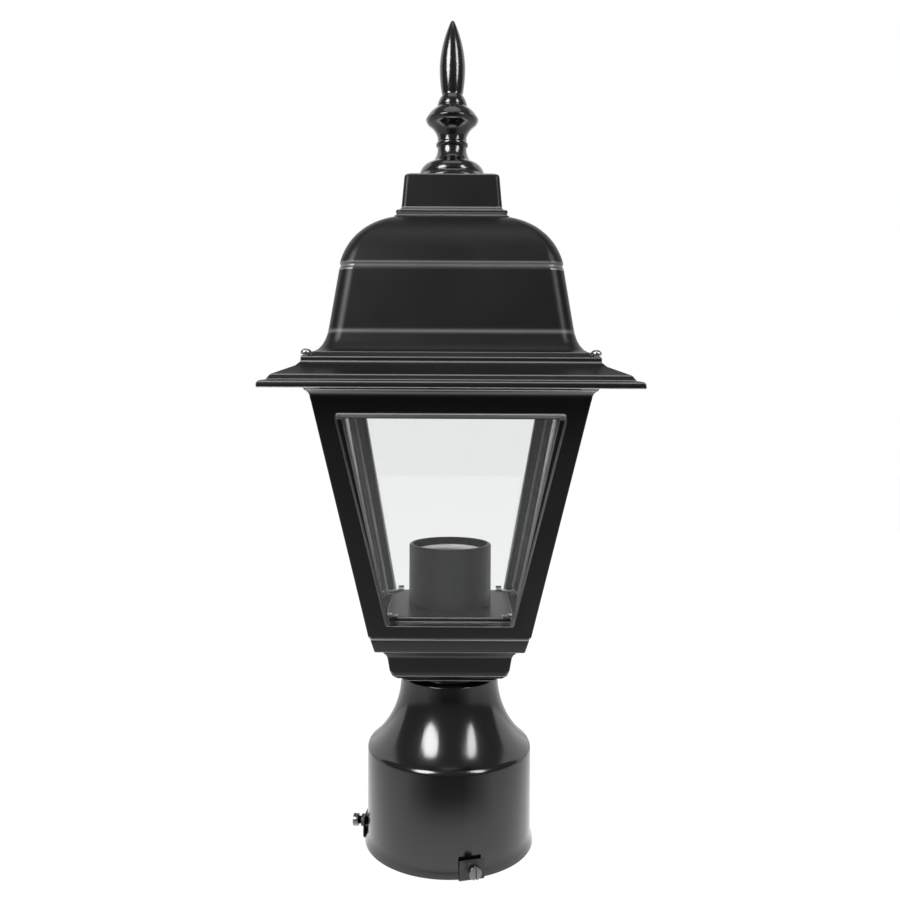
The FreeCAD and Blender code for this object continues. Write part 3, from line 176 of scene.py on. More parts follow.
class LanternSocket(bpy.types.PropertyGroup):
    """The lampholder's rolled brass shell."""
    base: length("Base", "Height of the shell's foot", 0.1308)
    foot_top: length("Foot Top", "Height where the narrow foot ends", 0.1345)
    rim: length("Rim", "Height of the shell's mouth", 0.1441)
    radius: length("Radius", "Outside radius", 0.014)
    foot_radius: length("Foot Radius", "Outside radius of the foot", 0.0131)
    brass: length("Brass", "Thickness of the brass", 0.0006)
    pitch: length("Thread Pitch", "Rise of the rolled thread in one turn", 0.00363)
    depth: length("Thread Depth", "Depth of the rolled thread", 0.0007)


class LanternTabs(bpy.types.PropertyGroup):
    """The bright tabs that hold the panes at their foot."""
    level: length("Level", "Height of the raised floor", 0.1188)
    face: length("Face", "Distance of a pane's inner face from the axis", 0.03332)
    offset: length("Offset", "Distance of a tab from the middle of its pane", 0.0262)
    width: length("Width", "Width of a tab", 0.003)
    foot: length("Foot", "Length of its foot", 0.0053)
    rise: length("Rise", "Height of its leg", 0.0014)
    metal: length("Metal", "Thickness of the tab", 0.0008)
    bend: length("Bend", "Bend between foot and leg", 0.0006)
    lean: length("Lean", "How far the leg leans out over its height", 0.00056)
    arris: length("Arris", "Round on the tab's edges", 0.00012)
    rivet: length("Rivet", "Radius of the rivet's head", 0.0008)
    rivet_rise: share("Rivet Rise", "Height of the rivet's head against its radius", 0.6)
    rivet_place: share("Rivet Place", "How far out along the foot the rivet sits", 0.62)


class LanternStage(bpy.types.PropertyGroup):
    """Camera, lamps and ground."""
    camera_distance: length("Camera Distance", "From the lens to the lantern's axis", 0.4652)
    camera_height: length("Camera Height", "Height of the lens above the ground", 0.227)
    camera_side: length("Camera Side", "How far the lens stands to the left", 0.00046)
    camera_lean: angle("Camera Lean", "Roll of the camera", 0.28)
    lens: bpy.props.FloatProperty(name="Lens", description="Focal length in millimetres on a 36 mm sensor",
                                  default=36.8, min=1.0)
    shift: bpy.props.FloatProperty(name="Shift", description="Vertical shift of the lens", default=-0.0689)
    lamp_aim: length("Lamp Aim", "Height on the axis at which the lamps point", 0.2)
    left_strip: power("Left Strip", "Lamp power of the left strip", 15.5)
    right_strip: power("Right Strip", "Lamp power of the right strip", 7.2)
    top_lamp: power("Top Lamp", "Lamp power from above", 1.0)
    rear_strip: power("Rear Strips", "Lamp power of each rear strip", 6.0)
    room: share("Room Light", "Brightness of the room's ceiling", 0.2)
    foot_light: bpy.props.FloatProperty(name="Foot Light", description="How bright the ground's mirror "
                                        "image is under the lantern", default=7.5, min=0.0)


# Finishes, mixed from nodes

class Signal:
    """The output of a node, reckoned with like a number."""

    def __init__(self, finish, socket):
        self.finish = finish
        self.socket = socket

    def reckon(self, operation, *values):
        """The outcome of a Math node."""
        return self.finish.node("ShaderNodeMath", {"operation": operation}, *values)

    def __add__(self, other):
        return self.reckon("ADD", self, other)

    def __sub__(self, other):
        return self.reckon("SUBTRACT", self, other)

    def __rsub__(self, other):
        return self.reckon("SUBTRACT", other, self)

    def __mul__(self, other):
        return self.reckon("MULTIPLY", self, other)

    def __abs__(self):
        return self.reckon("ABSOLUTE", self)

    __radd__ = __add__
    __rmul__ = __mul__


class Finish:
    """A material, or the world, that is put together node by node."""

    def __init__(self, name, world=False):
        self.owner = (bpy.data.worlds if world else bpy.data.materials).new(name)
        self.owner.use_nodes = True
        self.tree = self.owner.node_tree
        self.tree.nodes.clear()
        self.place = self.node("ShaderNodeTexCoord", out="Object")

    def node(self, kind, settings=None, *values, out=0, at=None, **sockets):
        """Adds a node: its settings first, then values or links by order, by number in at, or by name."""
        made = self.tree.nodes.new(kind)
        for name, setting in (settings or {}).items():
            if name == "stops":
                ramp = made.color_ramp.elements
                while len(ramp) < len(setting):
                    ramp.new(0.5)
                for stop, (position, shade) in zip(ramp, setting):
                    stop.position = position
                    stop.color = (shade, shade, shade, 1.0)
            else:
                setattr(made, name, setting)
        named = {name.replace("_", " "): value for name, value in sockets.items()}
        for socket, value in (*enumerate(values), *(at or {}).items(), *named.items()):
            if isinstance(value, Signal):
                self.tree.links.new(value.socket, made.inputs[socket])
            else:
                made.inputs[socket].default_value = value
        return Signal(self, made.outputs[out]) if made.outputs else None

    def noise(self, scale, detail=3.0, roughness=0.5, place=None):
        """Noise over the piece, its scale counted to the metre."""
        return self.node("ShaderNodeTexNoise", Vector=place or self.place, Scale=scale, Detail=detail,
                         Roughness=roughness)

    def ramp(self, value, *stops):
        """A grey ramp through pairs of position and level."""
        return self.node("ShaderNodeValToRGB", {"stops": stops}, value)

    def stretched(self, x, y, z):
        """The place on the piece, stretched along its axes."""
        return self.node("ShaderNodeMapping", None, Vector=self.place, Scale=(x, y, z))

    def shade(self, factor, dark, light, blend="MIX"):
        """A colour mixed from two, each written out or a link."""
        dark, light = (end if isinstance(end, Signal) else (*end, 1.0) for end in (dark, light))
        return self.node("ShaderNodeMix", {"data_type": "RGBA", "blend_type": blend},
                         at={0: factor, 6: dark, 7: light}, out=2)

    def bump(self, height, distance, strength):
        """Small hills on the surface, this high at most."""
        return self.node("ShaderNodeBump", None, Height=height, Distance=distance, Strength=strength)

    def surface(self, **sockets):
        """Ends the finish in a Principled shader."""
        return self.end(self.node("ShaderNodeBsdfPrincipled", None, **sockets))

    def end(self, shader, output="ShaderNodeOutputMaterial"):
        """Links the shader to an output and gives the finished material or world."""
        self.node(output, None, shader)
        return self.owner


def tint(shade, factor):
    """A colour made lighter or darker."""
    return tuple(min(1.0, part * factor) for part in shade)


def powder_coat(name, finishes, shade=None, sheen=0.21):
    """Semi-gloss black powder coat on a casting."""
    finish = Finish(name)
    shade = shade or finishes.coat_colour
    cast = finish.noise(45.0, 2.0)
    peel = finish.noise(2400.0, 2.0, 0.6)
    dull = finish.noise(18.0, 4.0, 0.6)
    height = finish.node("ShaderNodeSeparateXYZ", None, finish.place, out=2)
    # Painted highlight: lines of the lighter edge colour where the roof's wall turns into dome and cove
    highlight_bands = 0.0
    for level, reach in finishes.highlight_lines:
        off = abs(height - level) * (1.0 / reach)
        highlight_bands = finish.ramp(off, (0.15, 1.0), (0.6, 0.22), (1.0, 0.0)) + highlight_bands
    painted_lines = (finish.noise(30.0, 3.0, 0.6) * 0.6 + 0.5) * highlight_bands
    return finish.surface(
        Base_Color=finish.shade(painted_lines + dull * 0.06, tint(shade, 0.9), finishes.edge_highlight_colour),
        Roughness=dull * 0.14 + (finishes.coat_roughness - 0.07) + peel * 0.04,
        Specular_IOR_Level=sheen,
        Normal=finish.bump(peel + cast * 5.0, finishes.coat_peel, 0.5))


def edge_highlight_coat(name, finishes):
    """The powder coat on the rounded edges of a casting, painted lighter and made glossier as an edge
    highlight.
    """
    return powder_coat(name, finishes, finishes.edge_highlight_colour, 0.8)


def enamel(name, finishes):
    """Gloss black enamel on a turned or spun casting."""
    finish = Finish(name)
    flow = finish.noise(70.0, 2.0, 0.4)
    dust = finish.noise(900.0, 3.0, 0.6)
    return finish.surface(
        Base_Color=finish.shade(flow, tint(finishes.gloss_colour, 0.85), tint(finishes.gloss_colour, 1.2)),
        Roughness=dust * 0.06 + (finishes.gloss_roughness - 0.03),
        Specular_IOR_Level=0.5, Coat_Weight=0.5, Coat_Roughness=0.16, Coat_IOR=1.6,
        Normal=finish.bump(flow, 0.00002, 0.3))


def pane_glass(name, finishes):
    """Clear window glass."""
    finish = Finish(name)
    wipe = finish.noise(1.0, 3.0, 0.5, finish.stretched(60.0, 60.0, 9.0))
    return finish.surface(
        Base_Color=(*finishes.glass_colour, 1.0), IOR=1.46, Transmission_Weight=1.0,
        Roughness=finish.ramp(wipe, (0.45, 0.0), (0.8, 0.03)),
        Normal=finish.bump(wipe, 0.00004, 0.3))


def bright_zinc(name, finishes, shade=None):
    """Zinc plate with fine turning marks."""
    finish = Finish(name)
    shade = shade or finishes.zinc_colour
    grain = finish.noise(1.0, 4.0, 0.6, finish.stretched(2600.0, 2600.0, 500.0))
    cloud = finish.noise(260.0, 3.0)
    return finish.surface(
        Base_Color=finish.shade(cloud, tint(shade, 0.78), tint(shade, 1.12)),
        Metallic=1.0, Roughness=cloud * 0.16 + grain * 0.1 + 0.16,
        Normal=finish.bump(grain, 0.00001, 0.4))


def dull_zinc(name, finishes):
    """Zinc plate of the clamp screws, darker than on the other pieces."""
    return bright_zinc(name, finishes, finishes.clamp_colour)


def black_spring(name, finishes):
    """Black phosphated spring steel."""
    finish = Finish(name)
    grain = finish.noise(1900.0, 3.0, 0.7)
    return finish.surface(
        Base_Color=finish.shade(grain, finishes.spring_shade, finishes.spring_colour),
        Metallic=0.3, Roughness=grain * 0.2 + 0.34, Normal=finish.bump(grain, 0.00002, 0.5))


def glazed_porcelain(name, finishes):
    """White glazed porcelain."""
    finish = Finish(name)
    cloud = finish.noise(120.0, 3.0)
    speck = finish.ramp(finish.noise(1400.0, 1.0), (0.7, 1.0), (0.76, 0.82))
    glaze = finish.shade(cloud, tint(finishes.porcelain_colour, 0.96), finishes.porcelain_colour)
    return finish.surface(
        Base_Color=finish.shade(1.0, glaze, speck, "MULTIPLY"), Roughness=cloud * 0.1 + 0.12,
        Coat_Weight=0.6, Normal=finish.bump(cloud, 0.0001, 0.4))


def satin_brass(name, finishes):
    """Rolled brass, a little dulled."""
    finish = Finish(name)
    cloud = finish.noise(160.0, 4.0, 0.6)
    return finish.surface(
        Base_Color=finish.shade(cloud, tint(finishes.brass_colour, 0.7), finishes.brass_colour),
        Metallic=0.8, Roughness=cloud * 0.2 + 0.35, Normal=finish.bump(cloud, 0.00003, 0.4))


def green_zinc(name, finishes):
    """Green dyed zinc of an earth screw."""
    finish = Finish(name)
    cloud = finish.noise(400.0, 3.0)
    return finish.surface(
        Base_Color=finish.shade(cloud, finishes.earth_shade, finishes.earth_colour),
        Metallic=0.7, Roughness=cloud * 0.2 + 0.25)


FINISHES = (
    ("Powder Coat", powder_coat, ("roof", "cage", "neck_ring", "socket_cup")),
    ("Rubbed Coat", edge_highlight_coat, ()),
    ("Gloss Enamel", enamel, ("finial", "fitter")),
    ("Pane Glass", pane_glass, ("pane_front", "pane_right", "pane_back", "pane_left")),
    ("Bright Zinc", bright_zinc, ("pane_clips", "roof_screws", "finial_stud", "finial_washer",
                                  "finial_nut", "threaded_tube", "upper_washer", "upper_nut",
                                  "lower_washer", "lower_nut", "lampholder_screws")),
    ("Dull Zinc", dull_zinc, ("clamp_screw_1", "clamp_screw_2", "clamp_screw_3")),
    ("Black Spring Steel", black_spring, ("clip_nuts",)),
    ("Glazed Porcelain", glazed_porcelain, ("lampholder",)),
    ("Satin Brass", satin_brass, ("screw_shell", "centre_contact", "contact_rivet")),
    ("Green Zinc", green_zinc, ("ground_screw",)),
)


def finish_of(node):
    """The material that a node wears."""
    for name, _, wearers in FINISHES:
        if node in wearers:
            return bpy.data.materials[name]
    raise LookupError(f"no finish for {node}")


class LANTERN_OT_finishes(bpy.types.Operator):
    """Mix the finishes and put them on the lantern's solids"""
    bl_idname = "lantern.finishes"
    bl_label = "Finishes"

    def execute(self, context):
        finishes = context.scene.lantern_finishes
        for name, mix, wearers in FINISHES:
            material = mix(name, finishes)
            for wearer in wearers:
                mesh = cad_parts[wearer].data
                mesh.materials.clear()
                mesh.materials.append(material)
        return {"FINISHED"}


# Pieces

def alone(piece):
    """Makes a piece the only one selected, and the active one."""
    bpy.ops.object.select_all(action="DESELECT")
    piece.select_set(True)
    bpy.context.view_layer.objects.active = piece
    return piece


def started(add_primitive, scale, place, turn=(0.0, 0.0, 0.0), **settings):
    """Adds a primitive at its size and place, and applies both."""
    bpy.ops.object.select_all(action="DESELECT")
    add_primitive(**settings)
    piece = bpy.context.active_object
    piece.scale = scale
    placed(piece, place, turn)
    return piece


def pick(test):
    """Selects the vertices of the piece in edit mode whose place passes a test."""
    bpy.ops.mesh.select_all(action="DESELECT")
    shape = bmesh.from_edit_mesh(bpy.context.edit_object.data)
    for vertex in shape.verts:
        vertex.select = test(vertex.co)
    shape.select_flush(True)
    bmesh.update_edit_mesh(bpy.context.edit_object.data)


def drawn_out(x, y, z):
    """Extrudes what is selected."""
    bpy.ops.mesh.extrude_region_move(TRANSFORM_OT_translate={"value": (x, y, z)})


def worked(piece, kind, **settings):
    """Adds a modifier to the active piece and applies it."""
    modifier = piece.modifiers.new(kind.title(), kind)
    for name, setting in settings.items():
        setattr(modifier, name, setting)
    bpy.ops.object.modifier_apply(modifier=modifier.name)


def rounded(piece, width, segments, crease, **settings):
    """Rounds the edges of the active piece that bend more than the crease."""
    worked(piece, "BEVEL", width=width, segments=segments, limit_method="ANGLE", angle_limit=crease,
           **settings)


def twisted(piece, turns):
    """Twists the active piece about its axis by this many turns."""
    worked(piece, "SIMPLE_DEFORM", deform_method="TWIST", deform_axis="Z", angle=math.tau * turns)


def thickened(piece, metal):
    """Turns the faces of an open piece outwards and gives it its thickness."""
    faced_outwards(piece)
    worked(piece, "SOLIDIFY", thickness=metal, offset=0.0)


def placed(piece, place, turn=(0.0, 0.0, 0.0)):
    """Turns and moves the active piece, and applies both to its mesh."""
    piece.location = place
    piece.rotation_euler = turn
    bpy.ops.object.transform_apply()


def smoothed(degrees):
    """Shades the active piece smooth, but for edges that bend more."""
    bpy.ops.object.shade_smooth_by_angle(angle=math.radians(degrees))


def cut_by(piece, cutter, operation="DIFFERENCE"):
    """Cuts a piece by another, or fuses it with it, and takes the other away."""
    alone(piece)
    worked(piece, "BOOLEAN", operation=operation, solver="EXACT", object=cutter)
    bpy.data.objects.remove(cutter)


def copied(piece, turn, shift=(0.0, 0.0, 0.0)):
    """Copies a piece, shifted and then turned about the lantern's axis."""
    alone(piece)
    bpy.ops.object.duplicate()
    copy = bpy.context.active_object
    placed(copy, Matrix.Rotation(turn, 3, "Z") @ Vector(shift), (0.0, 0.0, turn))
    return copy


def joined(pieces):
    """Joins pieces into the first of them."""
    alone(pieces[0])
    for piece in pieces:
        piece.select_set(True)
    bpy.ops.object.join()
    return pieces[0]


def dressed(piece, name, body, node):
    """Names a piece, gives it its node's finish and lets it ride in the node's stead."""
    piece.name = piece.data.name = name
    piece.data.materials.clear()
    piece.data.materials.append(finish_of(node))
    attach(piece, body)
    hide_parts(node)


def rod_of_rings(radius, rise, rings, off, vertices=64, fill="NOTHING"):
    """A rod or open tube of many rings, set off its axis."""
    rod = started(bpy.ops.mesh.primitive_circle_add, (1.0, 1.0, 1.0), (off, 0.0, 0.0), vertices=vertices,
                  radius=radius, fill_type=fill)
    bpy.ops.object.mode_set(mode="EDIT")
    bpy.ops.mesh.select_all(action="SELECT")
    for _ in range(rings):
        drawn_out(0.0, 0.0, rise / rings)
    bpy.ops.object.mode_set(mode="OBJECT")
    return rod


def faced_outwards(piece):
    """Merges doubles and turns the faces outwards."""
    alone(piece)
    bpy.ops.object.mode_set(mode="EDIT")
    bpy.ops.mesh.select_all(action="SELECT")
    bpy.ops.mesh.remove_doubles(threshold=DOUBLE)
    bpy.ops.mesh.normals_make_consistent(inside=False)
    bpy.ops.object.mode_set(mode="OBJECT")


class LANTERN_OT_castings(bpy.types.Operator):
    """Round the edges of the castings, the panes and the domed screws"""
    bl_idname = "lantern.castings"
    bl_label = "Castings and Panes"

    def execute(self, context):
        sizes = context.scene.lantern_castings
        edges = {"roof": sizes.casting_edge, "cage": sizes.casting_edge, "neck_ring": sizes.casting_edge,
                 "fitter": sizes.turned_edge, "finial": sizes.turned_edge, "socket_cup": sizes.turned_edge,
                 "pane_front": sizes.pane_edge, "pane_right": sizes.pane_edge,
                 "pane_back": sizes.pane_edge, "pane_left": sizes.pane_edge,
                 "roof_screws": sizes.screw_edge}
        for node, edge in edges.items():
            piece = bpy.data.objects.new(node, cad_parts[node].data.copy())
            context.scene.collection.objects.link(piece)
            dressed(alone(piece), f"{node}_soft", "lantern", node)
            bpy.ops.object.mode_set(mode="EDIT")
            bpy.ops.mesh.select_all(action="SELECT")
            bpy.ops.mesh.remove_doubles(threshold=DOUBLE)
            bpy.ops.mesh.dissolve_limited(angle_limit=FLAT)
            if node == "cage":
                self.hang_heads(sizes)
            bpy.ops.object.mode_set(mode="OBJECT")
            # The lamps shine through the clear panes into the cage
            piece.visible_shadow = not node.startswith("pane_")
            # Roof, cage and neck ring get the lighter coat on their rounded edges, a painted highlight
            edge_lit = node in ("roof", "cage", "neck_ring")
            if edge_lit:
                piece.data.materials.append(bpy.data.materials["Rubbed Coat"])
            bpy.ops.mesh.customdata_custom_splitnormals_clear()
            rounded(piece, edge, 2, sizes.crease, material=int(edge_lit), use_clamp_overlap=False,
                    miter_outer="MITER_ARC")
            smoothed(46.0)
            # Keeps the flat faces flat beside their rounded edges
            worked(piece, "WEIGHTED_NORMAL", weight=100, keep_sharp=True)
        return {"FINISHED"}

    def hang_heads(self, sizes):
        """Lowers the heads of the four windows along the cage's lean."""
        for x, y in ((1, 0), (0, 1), (-1, 0), (0, -1)):
            pick(lambda at: sizes.head_low < at.z < sizes.head_high
                 and at.x * x + at.y * y > sizes.head_out and abs(at.x * y + at.y * x) < sizes.head_aside)
            back = -sizes.head_drop * sizes.lean
            bpy.ops.transform.translate(value=(x * back, y * back, -sizes.head_drop))


class LANTERN_OT_clip_nuts(bpy.types.Operator):
    """Fold the spring clips over the collar's rim, each with its threaded barrel"""
    bl_idname = "lantern.clip_nuts"
    bl_label = "Clip Nuts"

    def execute(self, context):
        sizes = context.scene.lantern_clamps
        half = sizes.spring / 2
        inner, outer = sizes.inner_leg, sizes.outer_leg
        clip = started(bpy.ops.mesh.primitive_plane_add, (outer - inner, sizes.clip_width, 1.0),
                       ((inner + outer) / 2, 0.0, half), size=1.0)
        bpy.ops.object.mode_set(mode="EDIT")
        for leg, curl in ((inner, 0.0), (outer, sizes.curl)):
            pick(lambda at: abs(at.x - leg) < half)
            drawn_out(0.0, 0.0, sizes.clip_height - half - sizes.spring)
            drawn_out(curl, 0.0, sizes.spring)
        pick(lambda at: at.z > sizes.clip_height - half)
        bpy.ops.mesh.bevel(offset=sizes.clip_corner, segments=4, affect="VERTICES")
        bpy.ops.object.mode_set(mode="OBJECT")
        rounded(clip, sizes.fold, 6, FOLD)
        worked(clip, "SOLIDIFY", thickness=sizes.spring, offset=0.0)
        faced_outwards(clip)
        barrel = started(bpy.ops.mesh.primitive_cylinder_add,
                         (sizes.barrel, sizes.barrel, sizes.barrel_end - outer),
                         ((sizes.barrel_end + outer) / 2, 0.0, sizes.level), ACROSS,
                         vertices=40, radius=1.0, depth=1.0)
        cut_by(clip, barrel, "UNION")
        # The bore runs from nearer the axis than the inner leg to beyond the barrel's end
        bore = started(bpy.ops.mesh.primitive_cylinder_add, (1.0, 1.0, 1.0),
                       ((inner + sizes.barrel_end) / 2, 0.0, sizes.level), ACROSS,
                       vertices=32, radius=sizes.thread + sizes.play, depth=2 * (sizes.barrel_end - inner))
        cut_by(clip, bore)
        rounded(clip, sizes.arris, 2, ARRIS, use_clamp_overlap=False)
        turns = (sizes.front_turn, sizes.back_turn, sizes.left_turn)
        clips = joined([copied(clip, turn) for turn in turns])
        bpy.data.objects.remove(clip)
        dressed(alone(clips), "spring_clips", "lantern", "clip_nuts")
        smoothed(35.0)
        return {"FINISHED"}


class LANTERN_OT_clamp_screws(bpy.types.Operator):
    """Cut the three clamp screws with their threads and slots"""
    bl_idname = "lantern.clamp_screws"
    bl_label = "Clamp Screws"

    def execute(self, context):
        sizes = context.scene.lantern_clamps
        shank = sizes.head_face - sizes.tip
        # A round rod set off its axis and twisted once a pitch has the thread's hills and valleys
        off = sizes.thread_depth / 2
        rings = round(shank / sizes.pitch * 8)
        screw = rod_of_rings(sizes.thread - off, shank + sizes.bite, rings, off, vertices=24, fill="NGON")
        rounded(screw, sizes.point, 1, FOLD)
        twisted(screw, shank / sizes.pitch)
        faced_outwards(screw)
        head = started(bpy.ops.mesh.primitive_cylinder_add, (sizes.head, sizes.head, sizes.head_height),
                       (0.0, 0.0, shank + sizes.head_height / 2), vertices=40, radius=1.0, depth=1.0)
        rounded(head, sizes.head_round, 3, FOLD)
        slot = started(bpy.ops.mesh.primitive_cube_add, (sizes.head * 3, sizes.slot, sizes.slot_depth * 2),
                       (0.0, 0.0, shank + sizes.head_height), size=1.0)
        cut_by(head, slot)
        cut_by(screw, head, "UNION")
        placed(screw, (sizes.tip, 0.0, sizes.level), ACROSS)
        for number, turn in enumerate((sizes.front_turn, sizes.back_turn, sizes.left_turn), start=1):
            name = f"clamp_screw_{number}"
            dressed(copied(screw, turn), f"{name}_cut", name, name)
            smoothed(40.0)
        bpy.data.objects.remove(screw)
        return {"FINISHED"}


class LANTERN_OT_screw_shell(bpy.types.Operator):
    """Roll the thread into the lampholder's brass shell"""
    bl_idname = "lantern.screw_shell"
    bl_label = "Screw Shell"

    def execute(self, context):
        sizes = context.scene.lantern_socket
        half = sizes.brass / 2
        off = sizes.depth / 2
        rise = sizes.rim - sizes.foot_top
        shell = rod_of_rings(sizes.radius - half - off, rise, rings=30, off=off)
        twisted(shell, rise / sizes.pitch)
        placed(shell, (0.0, 0.0, sizes.foot_top))
        thickened(shell, sizes.brass)
        depth = sizes.foot_top + half - sizes.base
        foot = rod_of_rings(sizes.foot_radius - half, depth, rings=3, off=0.0)
        placed(foot, (0.0, 0.0, sizes.base))
        thickened(foot, sizes.brass)
        dressed(joined([shell, foot]), "rolled_shell", "lantern", "screw_shell")
        smoothed(45.0)
        return {"FINISHED"}


class LANTERN_OT_pane_clips(bpy.types.Operator):
    """Bend the tabs that hold the panes, and rivet them down"""
    bl_idname = "lantern.pane_clips"
    bl_label = "Pane Clips"

    def execute(self, context):
        sizes = context.scene.lantern_tabs
        half = sizes.metal / 2
        near = half - sizes.face
        tab = started(bpy.ops.mesh.primitive_plane_add, (sizes.width, sizes.foot, 1.0),
                      (0.0, near + sizes.foot / 2, half), size=1.0)
        bpy.ops.object.mode_set(mode="EDIT")
        pick(lambda at: at.y < near + half)
        drawn_out(0.0, -sizes.lean, sizes.rise - half)
        bpy.ops.object.mode_set(mode="OBJECT")
        rounded(tab, sizes.bend, 5, FOLD)
        worked(tab, "SOLIDIFY", thickness=sizes.metal, offset=0.0)
        faced_outwards(tab)
        rounded(tab, sizes.arris, 2, ARRIS, use_clamp_overlap=False)
        rivet = started(bpy.ops.mesh.primitive_uv_sphere_add,
                        (sizes.rivet, sizes.rivet, sizes.rivet * sizes.rivet_rise),
                        (0.0, near + sizes.foot * sizes.rivet_place, sizes.metal),
                        segments=20, ring_count=8, radius=1.0)
        tab = joined([tab, rivet])
        places = [(math.radians(90.0 * side), (sizes.offset * end, 0.0, sizes.level))
                  for side in range(4) for end in (-1.0, 1.0)]
        tabs = joined([copied(tab, turn, shift) for turn, shift in places])
        bpy.data.objects.remove(tab)
        dressed(alone(tabs), "bent_tabs", "lantern", "pane_clips")
        smoothed(35.0)
        return {"FINISHED"}


# Stage

def light_path(finish, *kinds):
    """One where a ray is of any of these kinds, else nothing."""
    seen, *others = [finish.node("ShaderNodeLightPath", out=kind) for kind in kinds]
    for other in others:
        seen = seen.reckon("MAXIMUM", seen, other)
    return seen


def lamp(name, watts, width, height, azimuth, distance, level, aim, glossy=True):
    """A soft oval lamp that points at the lantern's axis; azimuth 0 is the front, more is to the right."""
    data = bpy.data.lights.new(name, "AREA")
    data.shape = "ELLIPSE"
    data.size = width
    data.size_y = height
    data.energy = watts
    made = bpy.data.objects.new(name, data)
    turn = math.radians(azimuth)
    made.location = (math.sin(turn) * distance, -math.cos(turn) * distance, level)
    made.rotation_euler = (Vector((0.0, 0.0, aim)) - made.location).to_track_quat("-Z", "Y").to_euler()
    made.visible_camera = False
    made.visible_transmission = False
    made.visible_glossy = glossy
    bpy.context.scene.collection.objects.link(made)


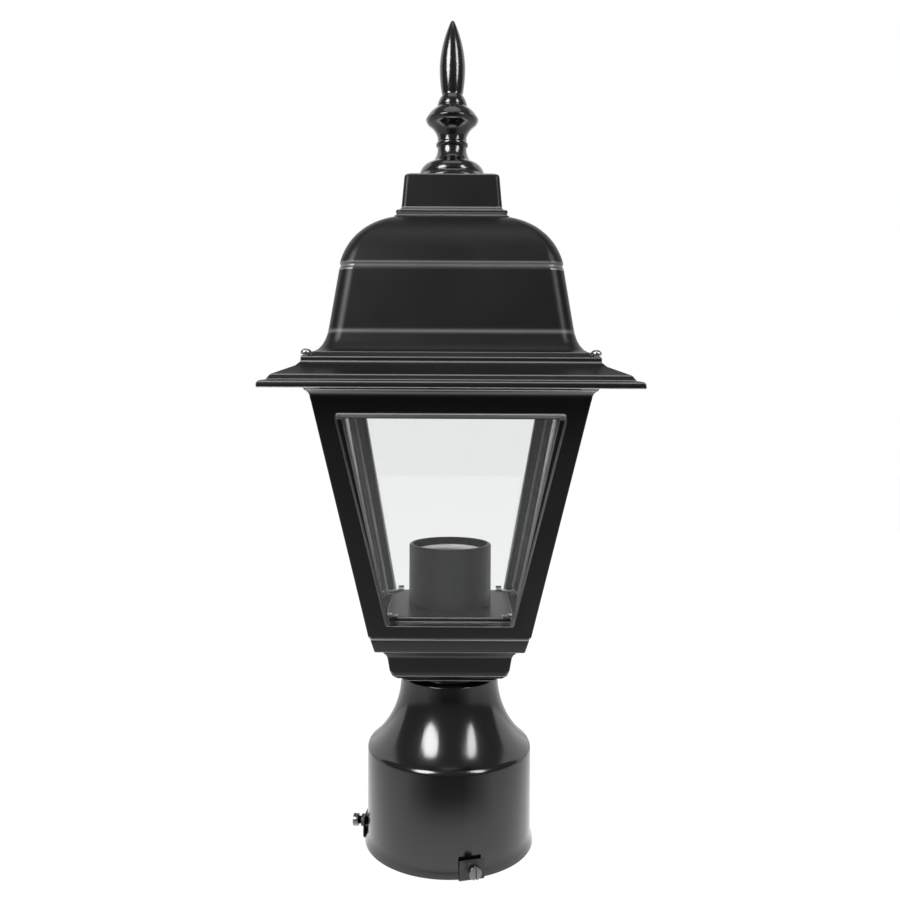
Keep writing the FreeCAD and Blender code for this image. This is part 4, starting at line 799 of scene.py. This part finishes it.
class LANTERN_OT_stage(bpy.types.Operator):
    """Set up the pale ground, the backdrop, the lamps and the camera"""
    bl_idname = "lantern.stage"
    bl_label = "Stage"

    def execute(self, context):
        scene = context.scene
        stage = scene.lantern_stage
        self.lay_ground(stage)
        self.hang_backdrop()
        aim = stage.lamp_aim
        lamp("left_strip", stage.left_strip, 0.52, 0.84, -39.0, 1.0, 0.87, aim)
        lamp("right_strip", stage.right_strip, 0.32, 0.84, 45.0, 1.0, 0.87, aim)
        lamp("top_lamp", stage.top_lamp, 0.7, 0.5, 0.0, 0.12, 1.2, aim)
        lamp("rear_left", stage.rear_strip, 0.5, 1.0, -130.0, 1.1, 0.5, aim, glossy=False)
        lamp("rear_right", stage.rear_strip, 0.5, 1.0, 130.0, 1.1, 0.5, aim, glossy=False)
        scene.world = self.paint_room(stage)
        scene.camera = self.set_camera(stage)
        scene.view_settings.view_transform = "Standard"
        return {"FINISHED"}

    def lay_ground(self, stage):
        """A ground that is white to the camera and, to glossy rays only, glows with a painted reflection
        for the black pieces.
        """
        bpy.ops.object.select_all(action="DESELECT")
        bpy.ops.mesh.primitive_plane_add(size=8.0, location=(0.0, 0.0, 0.0))
        ground = bpy.context.active_object
        ground.name = "ground"
        finish = Finish("Pale Ground")
        far = finish.node("ShaderNodeVectorMath", {"operation": "LENGTH"}, finish.place, out=1)
        heading = finish.node("ShaderNodeVectorMath", {"operation": "NORMALIZE"}, finish.place)
        towards = finish.node("ShaderNodeVectorMath", {"operation": "DOT_PRODUCT"}, heading,
                              (0.0, -1.0, 0.0), out=1)
        in_front = finish.ramp(towards, (0.6, 0.0), (0.96, 1.0))
        # Painted reflection for the black pieces: bright at their foot, dark before the camera
        beside = finish.ramp(far, (0.05, 0.14), (0.16, 0.09), (0.6, 0.07))
        before = finish.ramp(far, (0.05, 0.15), (0.09, 0.12), (0.125, 0.013), (0.36, 0.009), (0.52, 0.002))
        # and bright where their undersides look straight down on the ground
        slant = finish.node("ShaderNodeLayerWeight", None, Blend=0.5, out=1)
        round_foot = finish.ramp(far, (0.052, 0.1), (0.085, 0.75), (0.12, 1.0), (0.2, 1.0), (0.4, 0.1))
        below = finish.ramp(slant, (0.04, 1.0), (0.3, 0.0)) * round_foot
        painted_reflection = in_front * before + (1.0 - in_front) * beside + below
        seen = light_path(finish, "Is Camera Ray", "Is Transmission Ray")
        glossy = light_path(finish, "Is Glossy Ray") * (1.0 - seen)
        shader = finish.node("ShaderNodeBsdfPrincipled", None, Base_Color=(0.04, 0.04, 0.04, 1.0),
                             Roughness=0.9, Specular_IOR_Level=0.0,
                             Emission_Color=seen + glossy * painted_reflection * stage.foot_light,
                             Emission_Strength=1.0)
        ground.data.materials.append(finish.end(shader))

    def hang_backdrop(self):
        """A white half round wall behind the lantern."""
        bpy.ops.mesh.primitive_cylinder_add(vertices=96, radius=2.4, depth=3.0, end_fill_type="NOTHING",
                                            location=(0.0, 0.0, 1.4))
        backdrop = bpy.context.active_object
        backdrop.name = "backdrop"
        shell = bmesh.new()
        shell.from_mesh(backdrop.data)
        front = [face for face in shell.faces if face.calc_center_median().y < 0.6]
        bmesh.ops.delete(shell, geom=front, context="FACES")
        shell.to_mesh(backdrop.data)
        shell.free()
        finish = Finish("White Backdrop")
        glow = finish.node("ShaderNodeEmission", None, Color=WHITE, Strength=light_path(
            finish, "Is Camera Ray", "Is Glossy Ray", "Is Transmission Ray"))
        backdrop.data.materials.append(finish.end(glow))

    def paint_room(self, stage):
        """A room that is white where it is seen, and else dim, a little lighter towards the ceiling."""
        room = Finish("Room", world=True)
        height = room.node("ShaderNodeSeparateXYZ", None, room.place, out=2)
        ceiling = room.node("ShaderNodeMapRange", None, Value=height, From_Min=0.02, From_Max=0.3,
                            To_Min=stage.room * 0.8, To_Max=stage.room)
        seen = light_path(room, "Is Camera Ray", "Is Transmission Ray")
        return room.end(room.node("ShaderNodeBackground", None, Color=WHITE,
                                  Strength=seen.reckon("MAXIMUM", seen, ceiling)),
                        "ShaderNodeOutputWorld")

    def set_camera(self, stage):
        """The photo's camera, level and a little rolled."""
        data = bpy.data.cameras.new("camera")
        data.sensor_width = 36.0
        data.lens = stage.lens
        data.shift_y = stage.shift
        data.clip_start = 0.01
        camera = bpy.data.objects.new("camera", data)
        camera.location = (-stage.camera_side, -stage.camera_distance, stage.camera_height)
        upright = Matrix.Rotation(math.radians(90.0), 4, "X") @ Matrix.Rotation(stage.camera_lean, 4, "Z")
        camera.rotation_euler = upright.to_euler()
        bpy.context.scene.collection.objects.link(camera)
        return camera


class LANTERN_PT_sidebar(bpy.types.Panel):
    """Lists the lantern's operators and its sizes"""
    bl_idname = "LANTERN_PT_sidebar"
    bl_label = "Post-top Lantern"
    bl_space_type = "VIEW_3D"
    bl_region_type = "UI"
    bl_category = "Lantern"

    def draw(self, context):
        layout = self.layout
        for step in STEPS:
            layout.operator(step.bl_idname)
        for name in GROUPS:
            group = getattr(context.scene, name)
            box = layout.box()
            for prop in group.__annotations__:
                box.prop(group, prop)


GROUPS = {"lantern_finishes": LanternFinishes, "lantern_castings": LanternCastings,
          "lantern_clamps": LanternClamps, "lantern_socket": LanternSocket, "lantern_tabs": LanternTabs,
          "lantern_stage": LanternStage}
STEPS = (LANTERN_OT_finishes, LANTERN_OT_castings, LANTERN_OT_clip_nuts, LANTERN_OT_clamp_screws,
         LANTERN_OT_screw_shell, LANTERN_OT_pane_clips, LANTERN_OT_stage)
CLASSES = tuple(GROUPS.values()) + STEPS + (LANTERN_PT_sidebar,)


def register():
    for each in CLASSES:
        bpy.utils.register_class(each)
    for name, group in GROUPS.items():
        setattr(bpy.types.Scene, name, bpy.props.PointerProperty(type=group))


def unregister():
    for name in GROUPS:
        delattr(bpy.types.Scene, name)
    for each in reversed(CLASSES):
        bpy.utils.unregister_class(each)


def main():
    register()
    bpy.ops.lantern.finishes()
    bpy.ops.lantern.castings()
    bpy.ops.lantern.clip_nuts()
    bpy.ops.lantern.clamp_screws()
    bpy.ops.lantern.screw_shell()
    bpy.ops.lantern.pane_clips()
    bpy.ops.lantern.stage()


if __name__ == "__main__":
    main()
